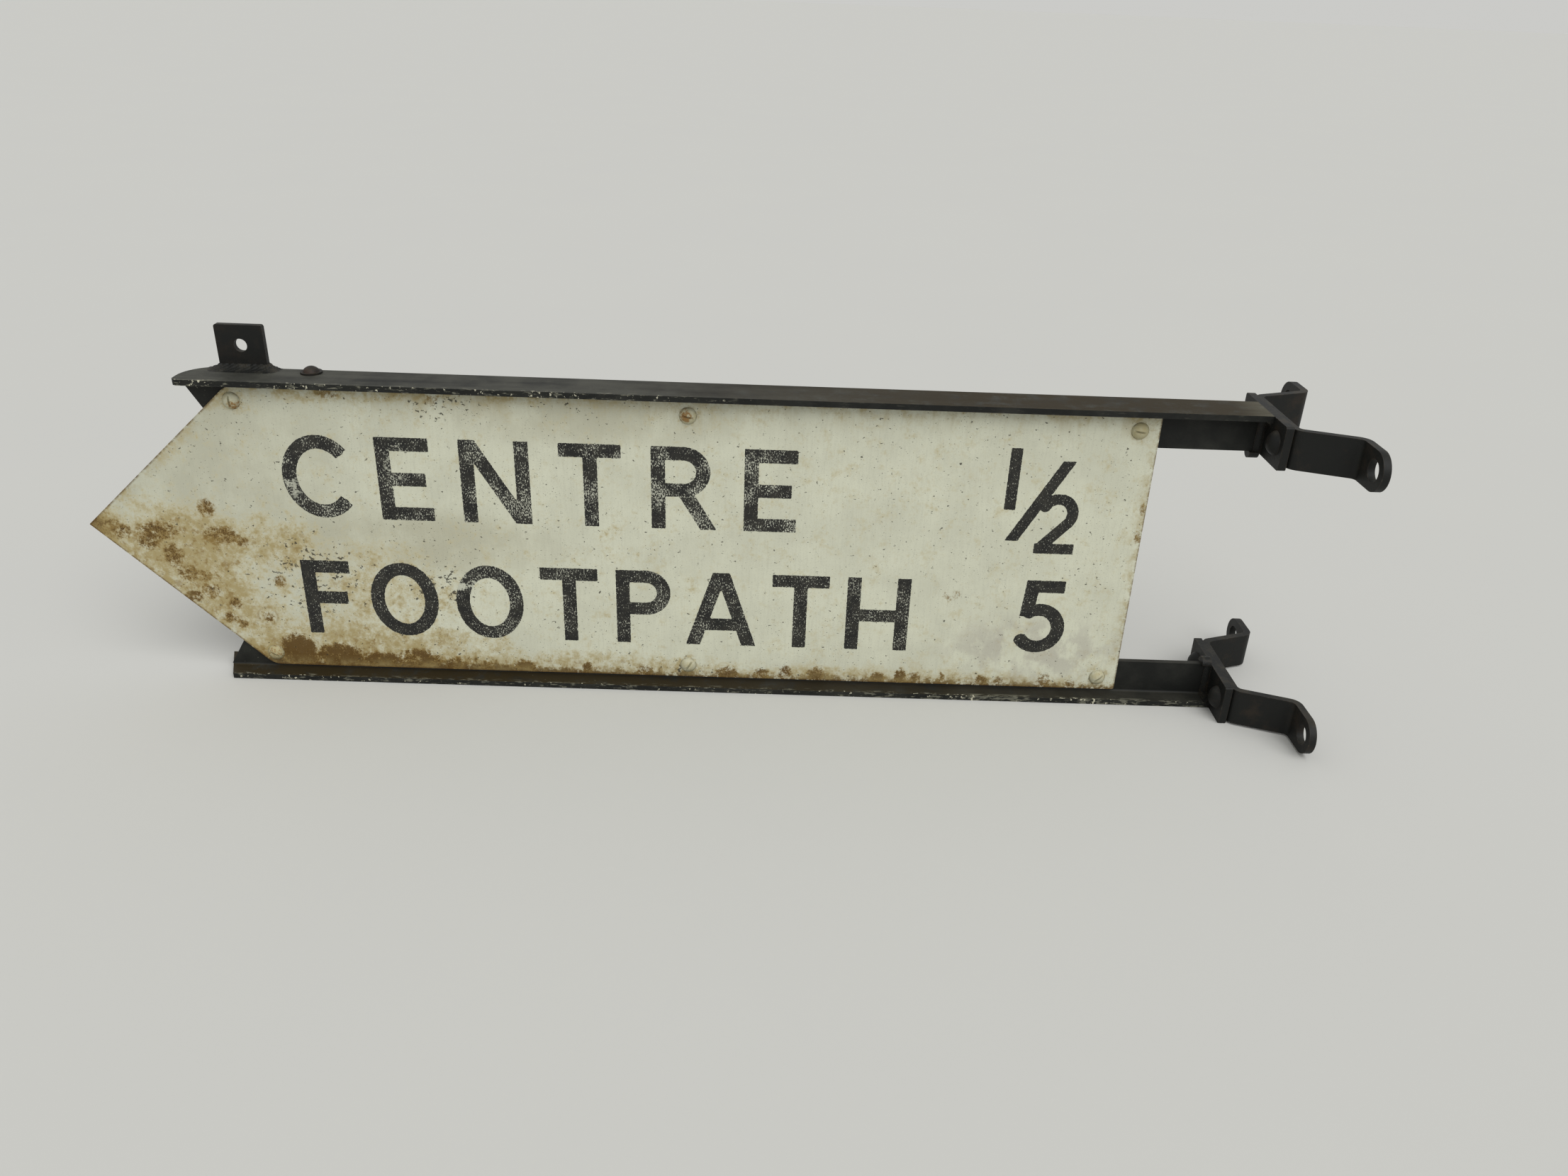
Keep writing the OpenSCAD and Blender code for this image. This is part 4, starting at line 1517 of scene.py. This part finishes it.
@dataclass
class Studio:
    """Pale floor, soft light and the camera of the photograph.

    Args:
        floor_colour: the floor.
        floor_shade: its darker clouds.
        floor_radius: the floor's radius.
        floor_sides: number of corners round its edge.
        floor_roughness: its roughness.
        floor_relief: depth of its clouds.
        floor_specular: its specular level.
        sky_colour: colour of the light from the sky.
        backdrop: colour of the sky as the camera sees it.
        sky: strength of both.
        sun_strength: strength of the lamp.
        sun_spread: angle of the lamp's disc, in degrees.
        sun_from: direction from which it shines.
        focal_pixels: focal length, in pixels of the photograph.
        image_width: the photograph's width, in pixels.
        sensor: width of the camera's sensor, in millimetres.
        clip: nearest and farthest distance that the camera sees.
        eye: the camera's place.
        pitch: how far it looks down, in degrees.
        yaw: how far it looks to the right of Y.
        roll: how far its right side is raised.
    """

    floor_colour: Colour = srgb(192, 192, 187)
    floor_shade: Colour = srgb(186, 186, 185)
    floor_radius: float = 60.0
    floor_sides: int = 64
    floor_roughness: float = 0.9
    floor_relief: float = 0.001
    floor_specular: float = 0.1
    sky_colour: Colour = (1.0, 1.0, 1.0)
    backdrop: Colour = (0.96, 0.96, 0.93)
    sky: float = 0.62
    sun_strength: float = 2.1
    sun_spread: float = 55.0
    sun_from: Triple = (0.30, -0.75, 0.95)
    focal_pixels: float = 1684.4
    image_width: float = 2212.0
    sensor: float = 36.0
    clip: Point = (0.01, 200.0)
    eye: Triple = (0.05802, -0.92022, 0.55790)
    pitch: float = 26.6535
    yaw: float = 0.8315
    roll: float = 1.9526

    def floor(self) -> None:
        """A wide disc of one face, level with the lower rail's underside."""
        turn = np.linspace(0, 2 * math.pi, self.floor_sides + 1)[:-1]
        ring = np.stack([np.cos(turn), np.sin(turn), np.zeros(self.floor_sides)], 1) * self.floor_radius
        mesh = bpy.data.meshes.new("studio_floor")
        mesh.from_pydata(ring.tolist(), [], [list(range(self.floor_sides))])
        disc = bpy.data.objects.new("studio_floor", mesh)
        bpy.context.scene.collection.objects.link(disc)
        graph = Graph("floor_cloth")
        soft = graph.noise(3, 3, 0.5)
        colour = graph.mix(soft * 0.25, self.floor_colour, self.floor_shade)
        mesh.materials.append(
            graph.finish(colour, self.floor_roughness, soft, self.floor_relief, self.floor_specular))

    def light(self) -> None:
        """An even sky and one wide soft lamp from the front and above."""
        world = bpy.data.worlds.new("studio_sky")
        world.use_nodes = True
        nodes = Nodes(world.node_tree)
        seen = nodes.node("ShaderNodeLightPath", {}, {}).outputs["Is Camera Ray"]
        colour = nodes.mix(seen, self.sky_colour, self.backdrop)
        shine = nodes.node("ShaderNodeBackground", {}, {"Color": colour, "Strength": self.sky})
        nodes.node("ShaderNodeOutputWorld", {}, {"Surface": shine.outputs[0]})
        bpy.context.scene.world = world
        lamp = bpy.data.lights.new("soft_lamp", "SUN")
        lamp.energy = self.sun_strength
        lamp.angle = math.radians(self.sun_spread)
        holder = bpy.data.objects.new("soft_lamp", lamp)
        holder.rotation_euler = Vector(self.sun_from).to_track_quat("Z", "Y").to_euler()
        bpy.context.scene.collection.objects.link(holder)

    def camera(self) -> None:
        """The photograph's camera: a pinhole that looks down by the pitch, turned by yaw and roll."""
        data = bpy.data.cameras.new("photo_camera")
        data.sensor_width = self.sensor
        data.lens = self.focal_pixels * self.sensor / self.image_width
        data.clip_start, data.clip_end = self.clip
        pitch, yaw, roll = (math.radians(a) for a in (self.pitch, self.yaw, self.roll))
        forward = Vector((math.sin(yaw) * math.cos(pitch), math.cos(yaw) * math.cos(pitch),
                          -math.sin(pitch)))
        level = forward.cross(Vector((0, 0, 1))).normalized()
        upright = level.cross(forward)
        tilt = math.asin(math.sin(roll) / upright.z)
        right = level * math.cos(tilt) + upright * math.sin(tilt)
        turned = Matrix((right, right.cross(forward), -forward)).transposed().to_4x4()
        eye = bpy.data.objects.new("photo_camera", data)
        eye.matrix_world = Matrix.Translation(self.eye) @ turned
        bpy.context.scene.collection.objects.link(eye)
        bpy.context.scene.camera = eye

    def build(self) -> None:
        """Sets the stage."""
        bpy.context.scene.view_settings.view_transform = "Standard"
        self.floor()
        self.light()
        self.camera()


def main() -> None:
    """Builds the studio and dresses the arm."""
    logging.basicConfig(level=logging.INFO, format="%(name)s: %(message)s")
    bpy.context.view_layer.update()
    Studio().build()
    ArmFinishes().build()
    TabWeld().build(ForgedPaint("tab_weld_paint", rusting=0.25, cells=90.0).build())
    Lettering().build(InkPaint().build())
    PlateScrews().build(ScrewPaint().build())


if __name__ == "__main__":
    main()
